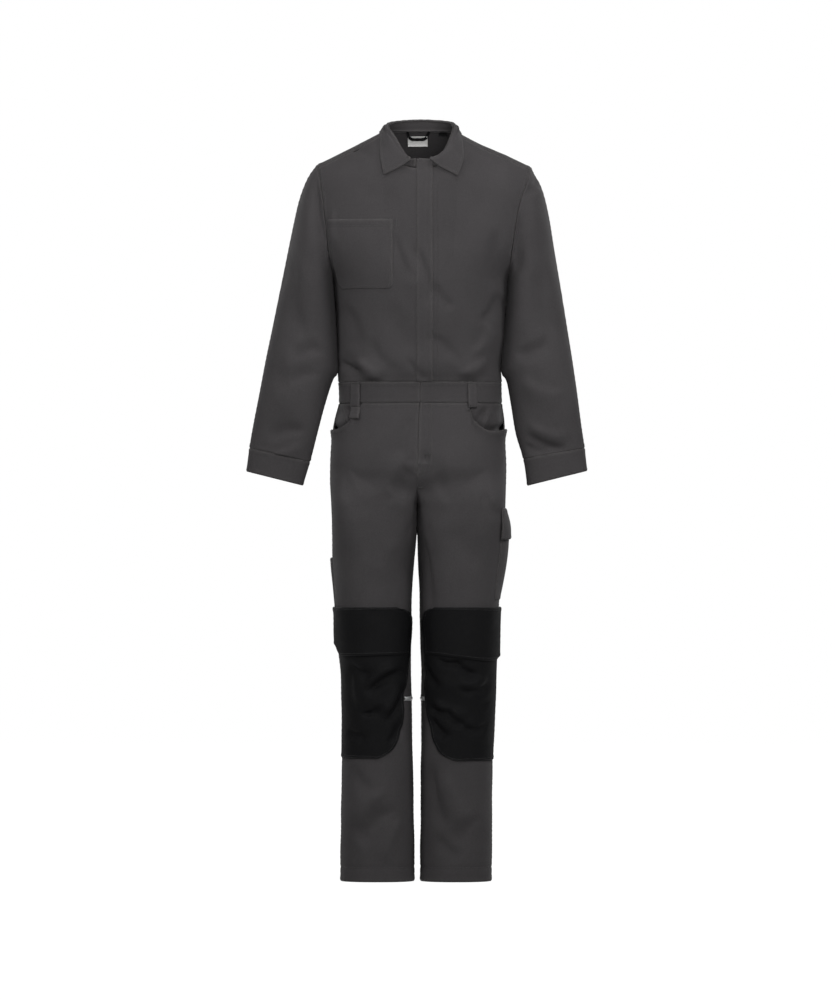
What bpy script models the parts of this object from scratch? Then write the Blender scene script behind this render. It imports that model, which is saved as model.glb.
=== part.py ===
"""Worn boiler suit: hollow cloth panels laid out over section tables.

Frame: metres, +Z up, the front faces -Y, +X is the wearer's left.
The origin lies between the shoulders at neck height.
Tables are in millimetres. The surface they give is the OUTER face of the cloth,
and each panel's wall goes inwards from it.
"""
import bmesh
import bpy
import numpy as np

MM = 0.001
WALL = 1.5            # cloth thickness, seams allowed for
SEAM = 0.35           # gap between two panels at a seam
FOLDS_START = 28.0    # the trousers' folds die out this near the middle
ON_PANEL = 1.2        # gap under a piece that lies on a panel, for the faceting of both
THIN = 1.0            # thickness of tapes and labels
PAD = 2.0             # how far the knee patches stand off over their pads
LOOP_BOW = 2.5        # how far a belt loop stands off the band
STAND_IN = 0.8        # the collar stand rises this far inside the neck seam
FALL_CLEAR = 6.0      # the collar's edge lies this far off the shoulders
FALL_BOW = 6.0        # the fall bows this far out and up near its fold
FALL_DROP = 10.0      # the fall's front ends hang this far below the straight line
FALL_ROLL = [(-1.0, 2.2), (3.2, 3.4), (8.0, -2.0)]  # its rows over the fold: outward, up
FLAP_HANG = {"right": 4.5, "left": 3.0}
ROUND = 2.4           # exponent of the body's rounded-square sections

ARMPIT = -273.0
WAIST_TOP = -488.0
WAIST_LOW = -532.0
RISE_TOP = -664.0     # the fork begins here
CROTCH = -748.0
RISE_LOW_ROW = -640.0  # the trousers' rows are level from here down
KNEE_SEAM = -1151.0   # each leg is cut across here, and the reflective trim caught in it
FORK_SHARE = 0.3      # part of a leg's front that lies inside the fork
SIDE_Y = 8.0          # depth of the side seams and of the shoulder ridge
NECK_HALF = 84.0
NECK_FRONT = -42.0
NECK_MIDDLE = 8.5     # the neck's own middle, from the frame's
OVERLAP = 9.0         # the collar's front ends meet this far off the neck's middle
NECK_BACK = 40.0
SHOULDER_DROP = 9.0   # the yoke comes this far over the ridge to the front
YOKE_LOW = -125.0
ARMHOLE_ANGLE = 58.0  # where the armhole cuts the body's section, from the middle

# bodice: height, middle, half width right and left, depth front and back
BODY = np.array([
    (-532, 6.0, 169, 172, 112, 112),
    (-488, 6.5, 171, 171, 112, 108),
    (-468, 6.5, 173, 170, 119, 114),
    (-400, 7.0, 175, 175, 122, 117),
    (-315, 7.5, 180, 180, 130, 122),
    (-273, 7.5, 184, 184, 133, 126),
    (-241, 7.8, 190, 187, 133, 128),
    (-174, 8.0, 198, 197, 133, 130),
    (-120, 8.2, 204, 206, 133, 130),
    (-60, 8.4, 213, 225, 133, 130),
    (-30, 8.5, 218, 231, 133, 130),
    (60, 8.5, 218, 231, 133, 130)])

# line of the shoulder's ridge: distance from the middle and height, each side
RIDGE_RIGHT = np.array([(0, 62), (62, 52), (92, 33), (134, 10.5), (176, -10.5), (218, -31)])
RIDGE_LEFT = np.array([(0, 62), (62, 52), (85, 33), (128, 10.5), (177, -10.5), (231, -36)])

# hips: height, middle, half width right and left, depth front and back
HIPS = np.array([
    (-532, 6.0, 169, 172, 112, 112),
    (-560, 4.5, 176, 178, 119, 124),
    (-590, 3.5, 181, 181, 125, 134),
    (-650, 2.0, 184, 185, 131, 142),
    (-700, 0.5, 182.5, 186, 133, 142),
    (-748, 0.0, 180, 186, 132, 134)])

# legs: height, inner and outer edge from the middle, depth front and back, squareness
LEG_RIGHT = np.array([
    (-690, 0.4, 182, 120, 140, 3.4),
    (-748, 0.4, 180, 120.5, 134, 3.2),
    (-801, 0.6, 178, 118, 118, 2.9),
    (-860, 6.5, 177, 112, 108, 2.6),
    (-935, 11, 173, 104, 98, 2.4),
    (-1029, 13, 165, 96, 88, 2.3),
    (-1092, 13.2, 159, 92, 82, 2.3),
    (-1150, 12.4, 157, 86, 82, 2.3),
    (-1275, 9.5, 156.5, 80, 86, 2.3),
    (-1400, 7.0, 160, 77, 80, 2.3),
    (-1534, 5.0, 161, 75, 77, 2.3)])
LEG_LEFT = np.array([
    (-690, 0.4, 187, 120, 140, 3.4),
    (-748, 0.4, 186, 120.5, 134, 3.2),
    (-801, 0.6, 184, 118, 118, 2.9),
    (-860, 2.6, 180, 112, 108, 2.6),
    (-935, 5.2, 173, 104, 98, 2.4),
    (-1029, 7.8, 168, 96, 88, 2.3),
    (-1092, 9.3, 165, 92, 82, 2.3),
    (-1150, 9.5, 163, 86, 82, 2.3),
    (-1275, 9.0, 159, 80, 86, 2.3),
    (-1400, 7.6, 157, 77, 80, 2.3),
    (-1534, 6.2, 157, 75, 77, 2.3)])

# sleeves: outer edge x z, inner edge x z, middle depth, half depth (first row: armhole)
SLEEVE_RIGHT = np.array([
    (-210, -31.5, -177, -274, 8, 65),
    (-224, -50, -176.6, -284, 8, 70),
    (-235, -71, -175.3, -298, 8, 73),
    (-247, -105, -173.9, -316, 7, 75),
    (-257, -147, -172.2, -340, 6, 75),
    (-270, -210, -170.6, -372, 3, 72),
    (-287, -294, -169.2, -420, -2, 64),
    (-304, -378, -169, -466, -8, 55),
    (-317, -441, -177, -485, -12, 49),
    (-330, -510, -193, -535, -16, 42),
    (-343, -576, -209, -596, -19, 34),
    (-351.5, -626, -224, -655, -21, 28),
    (-358, -675, -239, -705, -22, 26)])
SLEEVE_LEFT = np.array([
    (240.5, -36.5, 192.5, -274, 8, 65),
    (250, -56, 191.9, -285, 8, 70),
    (259, -73, 190.5, -300, 8, 73),
    (269, -105, 188.8, -318, 7, 75),
    (278, -147, 187, -342, 6, 75),
    (288, -210, 185.3, -374, 3, 72),
    (302, -294, 181.7, -420, -2, 64),
    (315.5, -378, 179.5, -466, -8, 55),
    (325.5, -441, 188, -487, -12, 49),
    (335.5, -510, 197, -535, -16, 42),
    (344, -576, 207, -596, -19, 34),
    (351.5, -626, 222.5, -649, -21, 28),
    (357, -674, 231, -705, -22, 26)])
SLEEVE_CLEAR = 1.0    # the sleeve starts this far out of and under the armhole
CUFF_SPLIT = 1.25     # the cuff's opening lies on the outer back of the wrist
CUFF_WALL = 2.0
CUFF_AT = 11.0        # the cuff starts at this row of the sleeve tables

# largest folds: panel, x and z at both ends, half width, height (minus is a trough)
FOLDS = [
    ("front", -118, -452, -68, -478, 20, 5.0),
    ("front", 62, -440, 128, -474, 20, 4.5),
    ("front", -150, -430, -128, -478, 16, -4.0),
    ("front", 130, -380, 160, -470, 18, -4.0),
    ("front", -60, -330, -14, -430, 24, -3.0),
    ("back", -110, -440, -20, -476, 24, 6.0),
    ("back", 30, -470, 130, -436, 24, 6.0),
    ("back", -150, -300, -60, -420, 30, -4.0),
    ("back", 60, -420, 150, -310, 30, -4.0),
    ("leg_front", -8, -690, -60, -610, 20, -4.0),
    ("leg_front", 8, -700, 70, -640, 22, 4.0),
    ("leg_front", -12, -760, -90, -700, 22, 4.0),
    ("leg_front", 12, -770, 100, -730, 24, -3.5),
    ("leg_front", -40, -1100, -130, -1060, 18, 3.0),
    ("leg_front", -40, -1180, -140, -1130, 18, 3.5),
    ("leg_front", 40, -1110, 140, -1150, 18, 3.5),
    ("leg_front", 50, -1190, 140, -1220, 18, 3.0),
    ("leg_back", -30, -770, -120, -830, 26, -5.0),
    ("leg_back", 30, -770, 120, -830, 26, -5.0),
    ("leg_back", -30, -1120, -140, -1100, 18, -5.0),
    ("leg_back", 30, -1110, 140, -1130, 18, -5.0)]

# pocket mouths: distance from the middle and height of the trouser front's upper edge
SCOOP_RIGHT = np.array([(122, -532), (128, -548), (134, -566), (143, -578), (156, -586),
                        (181, -588)])
SCOOP_LEFT = np.array([(110, -532), (113, -556), (123, -574), (138, -588), (156, -592),
                       (184, -586)])

# knee patches: height, inner edge x, each leg
KNEE_RIGHT = np.array([
    (-960, -36), (-967, -22), (-979, -14), (-1030, -15), (-1090, -22), (-1160, -27),
    (-1212, -33), (-1245, -44), (-1264, -60), (-1274, -80)])
KNEE_LEFT = np.array([
    (-960, 31), (-967, 20), (-979, 15), (-1030, 16), (-1090, 18), (-1160, 20),
    (-1212, 29), (-1248, 40), (-1270, 58), (-1279, 80)])

# collar, from its right front end round the back: place, then x y z of the stand's top
FOLD_LINE = np.array([
    (0.00, -1.6, -91, -21), (0.06, -17, -88, -22), (0.14, -34, -77, -8), (0.24, -52, -48, 24),
    (0.34, -61, -10, 50), (0.42, -42, 33, 58.5), (0.50, 8.5, 50, 62.5), (0.58, 60, 33, 58.5),
    (0.66, 77, -10, 50), (0.76, 69, -48, 24), (0.86, 50, -77, -8), (0.94, 29, -88, -22),
    (1.00, 0.2, -91, -21)])
# the same places: x z of the fall's lower edge, and whether it lies on the back
FALL_EDGE = np.array([
    (0.05, -68, -57, 0), (0.14, -75, -24, 0), (0.24, -79, 9, 0), (0.34, -81, 32, 0.5),
    (0.42, -60, 20, 1), (0.50, 8.5, 12, 1), (0.58, 77, 20, 1), (0.66, 93, 31, 0.5),
    (0.76, 98, 8, 0), (0.86, 96, -25, 0), (0.95, 84, -59, 0)])

UP = np.array([0, 0, 1.0])

# shares of the way up the bodice where its rows lie, below and above the armpit
LOWER_ROWS = [0, 0.08, 0.2, 0.36, 0.6, 0.8, 1]
UPPER_ROWS = [0.17, 0.34, 0.5, 0.66, 0.82, 1]
# heights of the trousers' level rows above and below the knee seam, and their columns
THIGH_ROWS = [-664, -692, -720, -748, -775, -801, -835, -870, -915, -962, -1010, -1055,
              -1100, KNEE_SEAM]
SHIN_ROWS = [KNEE_SEAM, -1210, -1275, -1340, -1400, -1465, -1534]
LEG_COLUMNS = np.array([0, 0.12, 0.24, 0.34, 0.42, 0.5, 0.6, 0.72, 0.86, 1])

COLOURS = {
    "twill": (0.053, 0.050, 0.052),
    "patch": (0.009, 0.009, 0.0095),
    "label_white": (0.75, 0.75, 0.74),
    "reflective": (0.62, 0.63, 0.63)}


def smooth(t):
    """Ease from 0 to 1."""
    t = np.clip(t, 0, 1)
    return t * t * (3 - 2 * t)


def column(table, key, index):
    """Read one column of a table at the given keys, with soft corners."""
    order = np.argsort(table[:, 0])
    keys, values = table[order, 0], table[order, index]
    slopes = np.gradient(values, keys)
    key = np.clip(key, keys[0], keys[-1])
    i = np.clip(np.searchsorted(keys, key, side="right") - 1, 0, len(keys) - 2)
    step = keys[i + 1] - keys[i]
    t = (key - keys[i]) / step
    return (values[i] * (2 * t**3 - 3 * t**2 + 1) + values[i + 1] * (3 * t**2 - 2 * t**3)
            + slopes[i] * step * (t**3 - 2 * t**2 + t) + slopes[i + 1] * step * (t**3 - t**2))


def arc(angle, exponent):
    """Across and depth of a unit rounded square, angle in degrees from the middle."""
    a = np.radians(angle)
    across = np.sign(np.sin(a)) * np.abs(np.sin(a))**(2 / exponent)
    depth = np.sign(np.cos(a)) * np.abs(np.cos(a))**(2 / exponent)
    return across, depth


def arc_angle(across, exponent):
    """Angle of the rounded square at a distance across."""
    across = np.clip(across, -1, 1)
    return np.degrees(np.arcsin(np.sign(across) * np.abs(across)**(exponent / 2)))


def ridge(s, reach):
    """Height of the shoulder ridge at a distance from the middle, s < 0 on the right."""
    right = np.interp(reach, RIDGE_RIGHT[:, 0], RIDGE_RIGHT[:, 1])
    left = np.interp(reach, RIDGE_LEFT[:, 0], RIDGE_LEFT[:, 1])
    return np.where(s < 0, right, left)


def edge_angle(z):
    """Angle of the body's section where the side seam or the armhole runs."""
    rise = np.clip((z - ARMPIT) / 85.0, 0, 1)
    return ARMHOLE_ANGLE + (90 - ARMHOLE_ANGLE) * (1 - rise)**2


def half_width(s, z):
    """Half width of the bodice's section on the side of s."""
    return np.where(s < 0, column(BODY, z, 2), column(BODY, z, 3))


def bodice_reach(s, z):
    """Distance from the middle, and unit depth, at s from -1 to 1."""
    limit = edge_angle(z)
    across, depth = arc(np.abs(s) * limit, ROUND)
    return half_width(s, z) * across / arc(limit, ROUND)[0], depth


def bodice(s, a):
    """Whole bodice: s from right to left seam, a up the front, over and down the back.

    Below the armpit a is the distance to it, and above it an angle: 90 is the ridge.
    """
    s, a = np.broadcast_arrays(np.asarray(s, float), np.asarray(a, float))
    back = a > 90
    b = np.where(back, 180 - a, a)
    rise = np.sin(np.radians(np.maximum(b, 0)))
    z = ARMPIT + np.where(b < 0, b, -ARMPIT * rise)
    for _ in range(8):
        reach, depth = bodice_reach(s, z)
        top = ridge(s, reach)
        z = np.where(b < 0, ARMPIT + b, ARMPIT + (top - ARMPIT) * rise)
    reach, depth = bodice_reach(s, z)
    depth = depth * np.cos(np.radians(np.maximum(b, 0)))
    full = np.where(back, column(BODY, z, 5), -column(BODY, z, 4))
    x = column(BODY, z, 1) + np.sign(s) * reach
    return np.stack([x, SIDE_Y + full * depth, z], axis=-1)


def on_bodice(x, z, back=False):
    """The s and a of the bodice's point at a place in the front view."""
    x, z = np.broadcast_arrays(np.asarray(x, float), np.asarray(z, float))
    from_middle = x - column(BODY, z, 1)
    limit = edge_angle(z)
    across = np.abs(from_middle) / half_width(from_middle, z) * arc(limit, ROUND)[0]
    s = np.sign(from_middle) * arc_angle(across, ROUND) / limit
    lift = (z - ARMPIT) / (ridge(from_middle, np.abs(from_middle)) - ARMPIT)
    b = np.where(z < ARMPIT, z - ARMPIT, np.degrees(np.arcsin(np.clip(lift, 0, 1))))
    return s, (180 - b if back else b)


def hips(side, u, z):
    """Trousers' ring above the fork: u 0 middle front, 1 side, 2 middle back."""
    half = column(HIPS, z, 3 if side > 0 else 2)
    across, depth = arc(u * 90, ROUND)
    depth = depth * np.where(u < 1, column(HIPS, z, 4), column(HIPS, z, 5))
    x = column(HIPS, z, 1) + side * half * across
    return np.stack([x, SIDE_Y - depth, z + 0 * u], axis=-1)


def tube(side, u, z):
    """Trouser leg: u 0 inseam, 1 side seam by the front, 2 inseam by the back."""
    table = LEG_LEFT if side > 0 else LEG_RIGHT
    inner, outer = column(table, z, 1), column(table, z, 2)
    across, depth = arc(u * 180 - 90, column(table, z, 5))
    depth = depth * np.where(u < 1, column(table, z, 3), column(table, z, 4))
    x = side * ((inner + outer) / 2 + (outer - inner) / 2 * across)
    return np.stack([x, SIDE_Y - depth, z + 0 * u], axis=-1)


def leg(side, u, z):
    """Trousers from the waist to the hem, with the curved rise between ring and leg."""
    u, z = np.broadcast_arrays(np.asarray(u, float), np.asarray(z, float))
    t = np.clip((z - CROTCH) / (RISE_TOP - CROTCH), 0, 1)
    inside = FORK_SHARE * (1 - t)
    near, far = np.minimum(u, 2 - u), u > 1
    ring_u = np.clip((near - inside) / (1 - inside), 0, 1)
    upper = hips(side, np.where(far, 2 - ring_u, ring_u), np.maximum(z, CROTCH))
    lower = tube(side, u, np.minimum(z, RISE_TOP))
    fork = (1 - np.clip(np.minimum(u, 2 - u) / 0.45, 0, 1))**2
    share = smooth(t) + (np.sin(t * np.pi / 2) - smooth(t)) * fork
    height = t + (1 - np.cos(t * np.pi / 2) - t) * fork
    points = lower + (upper - lower) * share[..., None]
    between = (z > CROTCH) & (z < RISE_TOP)
    points[..., 2] = np.where(between, CROTCH + (RISE_TOP - CROTCH) * height, z)
    return points


def on_leg(side, x, z, back=False):
    """The u of a leg's point at a place in the front view, found by halving."""
    x, z = np.broadcast_arrays(np.asarray(x, float), np.asarray(z, float))
    low, high = np.zeros(x.shape), np.ones(x.shape)
    for _ in range(24):
        middle = (low + high) / 2
        short = side * leg(side, 2 - middle if back else middle, z)[..., 0] < side * x
        low, high = np.where(short, middle, low), np.where(short, high, middle)
    return 2 - low if back else low


def armhole(side, u):
    """The armhole's edge on the bodice, with the sleeve's own u."""
    climb = np.degrees(np.arcsin(np.clip((1 - np.cos(u * np.pi)) / 2, 0, 1)))
    return bodice(side * np.ones_like(u), np.where(u % 2 <= 1, climb, 180 - climb))


def oval(sizes, u):
    """Sleeve ring from its outer and inner edge in the front view and its depth."""
    ox, oz, ix, iz, y, half_depth = sizes
    lean = np.cos(u * np.pi)
    x = (ox + ix) / 2 - (ox - ix) / 2 * lean
    z = (oz + iz) / 2 - (oz - iz) / 2 * lean
    return np.stack([x, y - half_depth * np.sin(u * np.pi), z], axis=-1)


def sleeve(side, u, row):
    """Sleeve: u 0 underarm, 1 along the top by the front, 2 underarm; row down the arm."""
    u, row = np.broadcast_arrays(np.asarray(u, float), np.asarray(row, float))
    table = SLEEVE_LEFT if side > 0 else SLEEVE_RIGHT
    rows = np.column_stack([np.arange(len(table)), table])
    ring = oval([column(rows, row, k) for k in range(1, 7)], u)
    to_hole = armhole(side, u) - oval(table[0], u) + np.array([side, 0, -1]) * SLEEVE_CLEAR
    return ring + to_hole * (1 - smooth(row / 3.0))[..., None]


def along(surface, sign, s, v, step=0.5):
    """Points of a surface and their outward normals, by differences."""
    points = surface(s, v)
    across = surface(s + 0.003, v) - surface(s - 0.003, v)
    upward = surface(s, v + step) - surface(s, v - step)
    normals = sign * np.cross(across, upward)
    return points, normals / np.maximum(np.linalg.norm(normals, axis=-1, keepdims=True), 1e-9)


def folded(points, normals, panel):
    """Move points out or in where the panel's folds run."""
    moved = np.zeros(points.shape[:-1])
    for name, x0, z0, x1, z1, width, height in FOLDS:
        if name != panel:
            continue
        run = np.array([x1 - x0, z1 - z0], float)
        length = np.hypot(*run)
        offset = points[..., [0, 2]] - np.array([x0, z0])
        t = offset @ run / length**2
        away = np.abs(offset[..., 0] * run[1] - offset[..., 1] * run[0]) / length
        taper = smooth((t + 0.15) / 0.3) * smooth((1.15 - t) / 0.3)
        moved += height * np.exp(-(away / width)**2) * taper
    if panel.startswith("leg"):
        moved *= smooth(np.abs(points[..., 0]) / FOLDS_START)
    return points + normals * moved[..., None]


def inset(points, gap=SEAM / 2, sides="tblr"):
    """Draw the edges of a grid in, so neighbours stay apart at their seam."""
    points = points.copy()
    edges = {"t": (0, 1, 0), "b": (-1, -2, 0), "l": (0, 1, 1), "r": (-1, -2, 1)}
    for side in sides:
        end, beside, axis = edges[side]
        view = points if axis == 0 else points.swapaxes(0, 1)
        run = view[beside] - view[end]
        view[end] += run * gap / np.maximum(np.linalg.norm(run, axis=-1, keepdims=True), 1e-9)
    return points


def material(slot):
    """Plain material of a slot."""
    made = bpy.data.materials.get(slot)
    if made:
        return made
    made = bpy.data.materials.new(slot)
    made.use_nodes = True
    shader = made.node_tree.nodes["Principled BSDF"]
    shader.inputs["Base Color"].default_value = (*COLOURS[slot], 1)
    shader.inputs["Roughness"].default_value = 0.85
    made.diffuse_color = (*COLOURS[slot], 1)
    return made


def shell(name, points, normals, slot="twill", wall=WALL, lift=None):
    """Closed cloth wall on a grid: its outer face on the points, or lifted off them."""
    raised = 0 if lift is None else lift + wall
    outer = points + normals * np.asarray(raised)[..., None]
    inner = outer - normals * wall
    rows, cols = points.shape[:2]
    mesh = bmesh.new()
    top = [[mesh.verts.new(p * MM) for p in line] for line in outer]
    low = [[mesh.verts.new(p * MM) for p in line] for line in inner]
    facing = np.cross(points[0, 1] - points[0, 0], points[1, 0] - points[0, 0])
    flip = np.dot(facing, normals[0, 0]) < 0

    def face(*corners):
        mesh.faces.new(corners[::-1] if flip else corners)

    for r in range(rows - 1):
        for c in range(cols - 1):
            face(top[r][c], top[r][c + 1], top[r + 1][c + 1], top[r + 1][c])
            face(low[r][c], low[r + 1][c], low[r + 1][c + 1], low[r][c + 1])
    for r in range(rows - 1):
        face(top[r][0], top[r + 1][0], low[r + 1][0], low[r][0])
        face(top[r + 1][-1], top[r][-1], low[r][-1], low[r + 1][-1])
    for c in range(cols - 1):
        face(top[0][c + 1], top[0][c], low[0][c], low[0][c + 1])
        face(top[-1][c], top[-1][c + 1], low[-1][c + 1], low[-1][c])
    data = bpy.data.meshes.new(name)
    mesh.to_mesh(data)
    mesh.free()
    data.materials.append(material(slot))
    piece = bpy.data.objects.new(name, data)
    bpy.context.scene.collection.objects.link(piece)
    data.shade_smooth()
    return piece


def body_piece(name, s, a, panel=None, sides="tblr", **how):
    """Piece of cloth on the bodice's surface at a grid of s and a."""
    points, normals = along(bodice, 1.0, s, a)
    if panel:
        points = folded(points, normals, panel)
    return shell(name, inset(points, sides=sides), normals, **how)


def leg_piece(name, side, u, z, panel=None, sides="tblr", **how):
    """Piece of cloth on a trouser leg's surface at a grid of u and z."""
    points, normals = along(lambda p, q: leg(side, p, q), side, u, z)
    if panel:
        points = folded(points, normals, panel)
    return shell(name, inset(points, sides=sides), normals, **how)


def sleeve_piece(name, side, u, row, sides="tblr", **how):
    """Piece of cloth on a sleeve's surface at a grid of u and row."""
    points, normals = along(lambda p, q: sleeve(side, p, q), -side, u, row, step=0.02)
    return shell(name, inset(points, sides=sides), normals, **how)


def stretch(first, last, steps):
    """Rows between two curves: one row of values for each step."""
    steps = np.asarray(steps, float)[:, None]
    return np.asarray(first)[None] * (1 - steps) + np.asarray(last)[None] * steps


def neck_front(side, reach):
    """Height of the neckline in front at a distance from the middle."""
    seam = ridge(side, NECK_HALF) - SHOULDER_DROP
    fall = 1 - np.sqrt(1 - np.clip(reach / NECK_HALF, 0, 1)**2)
    return NECK_FRONT + (seam - NECK_FRONT) * fall


def top_front(s):
    """The a of the front's upper edge: neckline, then shoulder seam."""
    z = np.full(s.shape, -20.0)
    for _ in range(30):
        reach = bodice_reach(s, z)[0]
        over = ridge(s, reach) - SHOULDER_DROP
        aim = np.where(reach < NECK_HALF, neck_front(s, reach), over)
        z = (z + aim) / 2
    reach = bodice_reach(s, z)[0]
    lift = (z - ARMPIT) / (ridge(s, reach) - ARMPIT)
    return np.degrees(np.arcsin(np.clip(lift, 0, 1))), reach


def neck_column(side):
    """The s where the neckline meets the shoulder seam."""
    s = np.linspace(0.2, 0.6, 401) * side
    return s[np.searchsorted(top_front(s)[1], NECK_HALF)]


def lift_of(s, z):
    """Lift angle of the bodice's surface at s and a height."""
    z = z + 0 * s
    lift = (z - ARMPIT) / (ridge(s, bodice_reach(s, z)[0]) - ARMPIT)
    return np.degrees(np.arcsin(np.clip(lift, 0, 1)))


def bodice_front(name, side):
    """Front panel from the waist seam to neckline, shoulder seam and armhole."""
    neck = neck_column(side)
    s = np.concatenate([np.linspace(0, neck, 5)[:-1], np.linspace(neck, side, 6)])
    low = stretch(0 * s + WAIST_TOP - ARMPIT, 0 * s, LOWER_ROWS)
    high = stretch(0 * s, top_front(s)[0], UPPER_ROWS)
    a = np.vstack([low, high])
    body_piece(name, np.broadcast_to(s, a.shape), a, panel="front")


def bodice_back(name):
    """Back panel from the waist seam up to the yoke."""
    s = np.linspace(-1, 1, 17)
    low = stretch(0 * s + ARMPIT - WAIST_TOP, 0 * s, LOWER_ROWS)
    high = stretch(0 * s, lift_of(s, YOKE_LOW), [0.5, 1])
    a = 180 + np.vstack([low, -high])
    body_piece(name, np.broadcast_to(s, a.shape), a, panel="back")


def yoke(name):
    """Yoke over both shoulders, cut out round the neck."""
    right, left = neck_column(-1), neck_column(1)
    inside = np.linspace(right * 0.9, left * 0.9, 7)
    s = np.concatenate([np.linspace(-1, right, 6), inside, np.linspace(left, 1, 6)])
    start = top_front(s)[0]
    reach = bodice_reach(s, 40 + 0 * s)[0]
    back_neck = 180 - lift_of(s, np.minimum(NECK_BACK, ridge(s, reach) - 2))
    start = np.where((s > right + 0.001) & (s < left - 0.001), back_neck, start)
    a = stretch(start, 180 - lift_of(s, YOKE_LOW), [0, 0.16, 0.34, 0.56, 0.78, 1])
    body_piece(name, np.broadcast_to(s, a.shape), a)


def sleeves():
    """Each sleeve has a front and a back half and a cuff."""
    rows = np.array([0, 0.5, 1, 1.5, 2, 3, 4, 5, 6, 7, 8, 9, 10, CUFF_AT])
    for word, side in (("right", -1), ("left", 1)):
        for half, start in (("front", 0), ("back", 1)):
            u, row = np.meshgrid(start + np.linspace(0, 1, 9), rows)
            sleeve_piece(f"sleeve_{word}_{half}", side, u, row)
        u, row = np.meshgrid(np.linspace(0.03, 1.97, 17), [CUFF_AT, CUFF_AT + 0.5, 12])
        sleeve_piece(f"cuff_{word}", side, u + CUFF_SPLIT, row, wall=CUFF_WALL)


def trouser_top(side, u):
    """Upper edge of the trouser front: waist seam, then the scoop of the pocket."""
    reach = hips(side, u, -560.0 + 0 * u)[..., 0] * side
    scoop = SCOOP_LEFT if side > 0 else SCOOP_RIGHT
    return np.interp(reach, scoop[:, 0], scoop[:, 1])


def trousers():
    """Front and back of each leg, cut across at the knee seam."""
    for word, side in (("right", -1), ("left", 1)):
        for half, u in (("front", LEG_COLUMNS), ("back", 2 - LEG_COLUMNS)):
            top = trouser_top(side, u) if half == "front" else WAIST_LOW + 0 * u
            upper = stretch(top, RISE_LOW_ROW + 0 * u, [0, 0.3, 0.65, 1])
            thigh = np.vstack([upper, stretch(0 * u, 0 * u + 1, THIGH_ROWS)])
            leg_piece(f"trouser_{word}_{half}", side, np.broadcast_to(u, thigh.shape), thigh,
                      panel=f"leg_{half}")
            shin = stretch(0 * u, 0 * u + 1, SHIN_ROWS)
            leg_piece(f"lower_leg_{word}_{half}", side, np.broadcast_to(u, shin.shape), shin,
                      panel=f"leg_{half}")


def on_front(name, left, right, heights, columns, **how):
    """Piece on the bodice's front between two x edges."""
    x = stretch(left + 0 * heights, right + 0 * heights, np.linspace(0, 1, columns)).T
    s, a = on_bodice(x, np.broadcast_to(heights[:, None], x.shape))
    body_piece(name, s, a, panel="front", **how)


def on_trouser(name, side, inner, outer, heights, columns, back=False, **how):
    """Piece on a trouser leg between two x edges, or to the side seam where outer is None."""
    z = np.broadcast_to(heights[:, None], (len(heights), columns))
    first = on_leg(side, inner + 0 * heights, heights, back)
    last = 1 + 0 * heights if outer is None else on_leg(side, outer + 0 * heights, heights, back)
    u = stretch(first, last, np.linspace(0, 1, columns)).T
    if callable(how.get("lift")):
        how["lift"] = how["lift"](u)
    leg_piece(name, side, u, z, panel="leg_back" if back else "leg_front", **how)


def round_side(name, side, start, end, heights, columns, **how):
    """Piece that lies round the side seam of a leg, from u start to u end."""
    u, z = np.meshgrid(np.linspace(start, end, columns), heights)
    leg_piece(name, side, u, z, **how)


def closure():
    """Placket over the closed fronts, and the fly that carries it down the trousers."""
    on_front("placket", -0.5, 33, np.linspace(-43.5, WAIST_TOP, 16), 4, lift=ON_PANEL)
    on_trouser("fly", 1, 0.8, 33, np.array([-532, -560, -590, -620, -650, -664.0]), 4,
               lift=ON_PANEL)


def waistband():
    """Three bands between bodice and trousers: two in front and one behind."""
    a = np.array([WAIST_TOP, -503, -517, WAIST_LOW]) - ARMPIT
    for word, side in (("right", -1), ("left", 1)):
        s, rows = np.meshgrid(side * np.linspace(0, 1, 9), a)
        body_piece(f"waistband_{word}", s, rows)
    s, rows = np.meshgrid(np.linspace(-1, 1, 17), 180 - a)
    body_piece("waistband_back", s, rows)


def belt_loops():
    """Four belt loops, standing clear of the band between their ends."""
    for name, x, back in (("loop_front_right", -128, False), ("loop_front_left", 115, False),
                          ("loop_back_right", -70, True), ("loop_back_left", 83, True)):
        heights = np.array([-490.5, -494, -500, -510, -520, -526, -530.5])
        across = np.array([x - 9, x + 9])
        s, a = on_bodice(*np.meshgrid(across, heights), back=back)
        bow = np.array([0, 0.2, 0.8, 1, 0.8, 0.2, 0])[:, None] * LOOP_BOW + ON_PANEL
        body_piece(name, s, a, lift=bow + 0 * s, wall=2.0)


def chest_pocket():
    """Patch pocket with rounded lower corners on the right breast."""
    heights = np.array([-149, -158, -170, -195, -220, -245, -270, -283, -290, -294.0])
    draw = np.array([0, 0, 0, 0, 0, 0, 0, 1, 4, 10.0])
    armhole_side = np.interp(-heights, [149, 215, 294], [-186, -179, -163])
    on_front("chest_pocket", armhole_side + draw, -50 - draw, heights, 9, lift=ON_PANEL)


def hip_pockets():
    """Backing cloth that shows inside each pocket's scooped mouth."""
    for word, side, inner in (("right", -1, -100), ("left", 1, 92)):
        heights = np.array([WAIST_LOW, -546, -560, -575, -590, -606.0])
        points_z = np.broadcast_to(heights[:, None], (6, 9))
        first = on_leg(side, inner + 0 * heights, heights)
        u = stretch(first, 0.985 + 0 * heights, np.linspace(0, 1, 9)).T
        leg_piece(f"hip_pocket_{word}", side, u, points_z, lift=-2 * WALL - 1.5)


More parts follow.
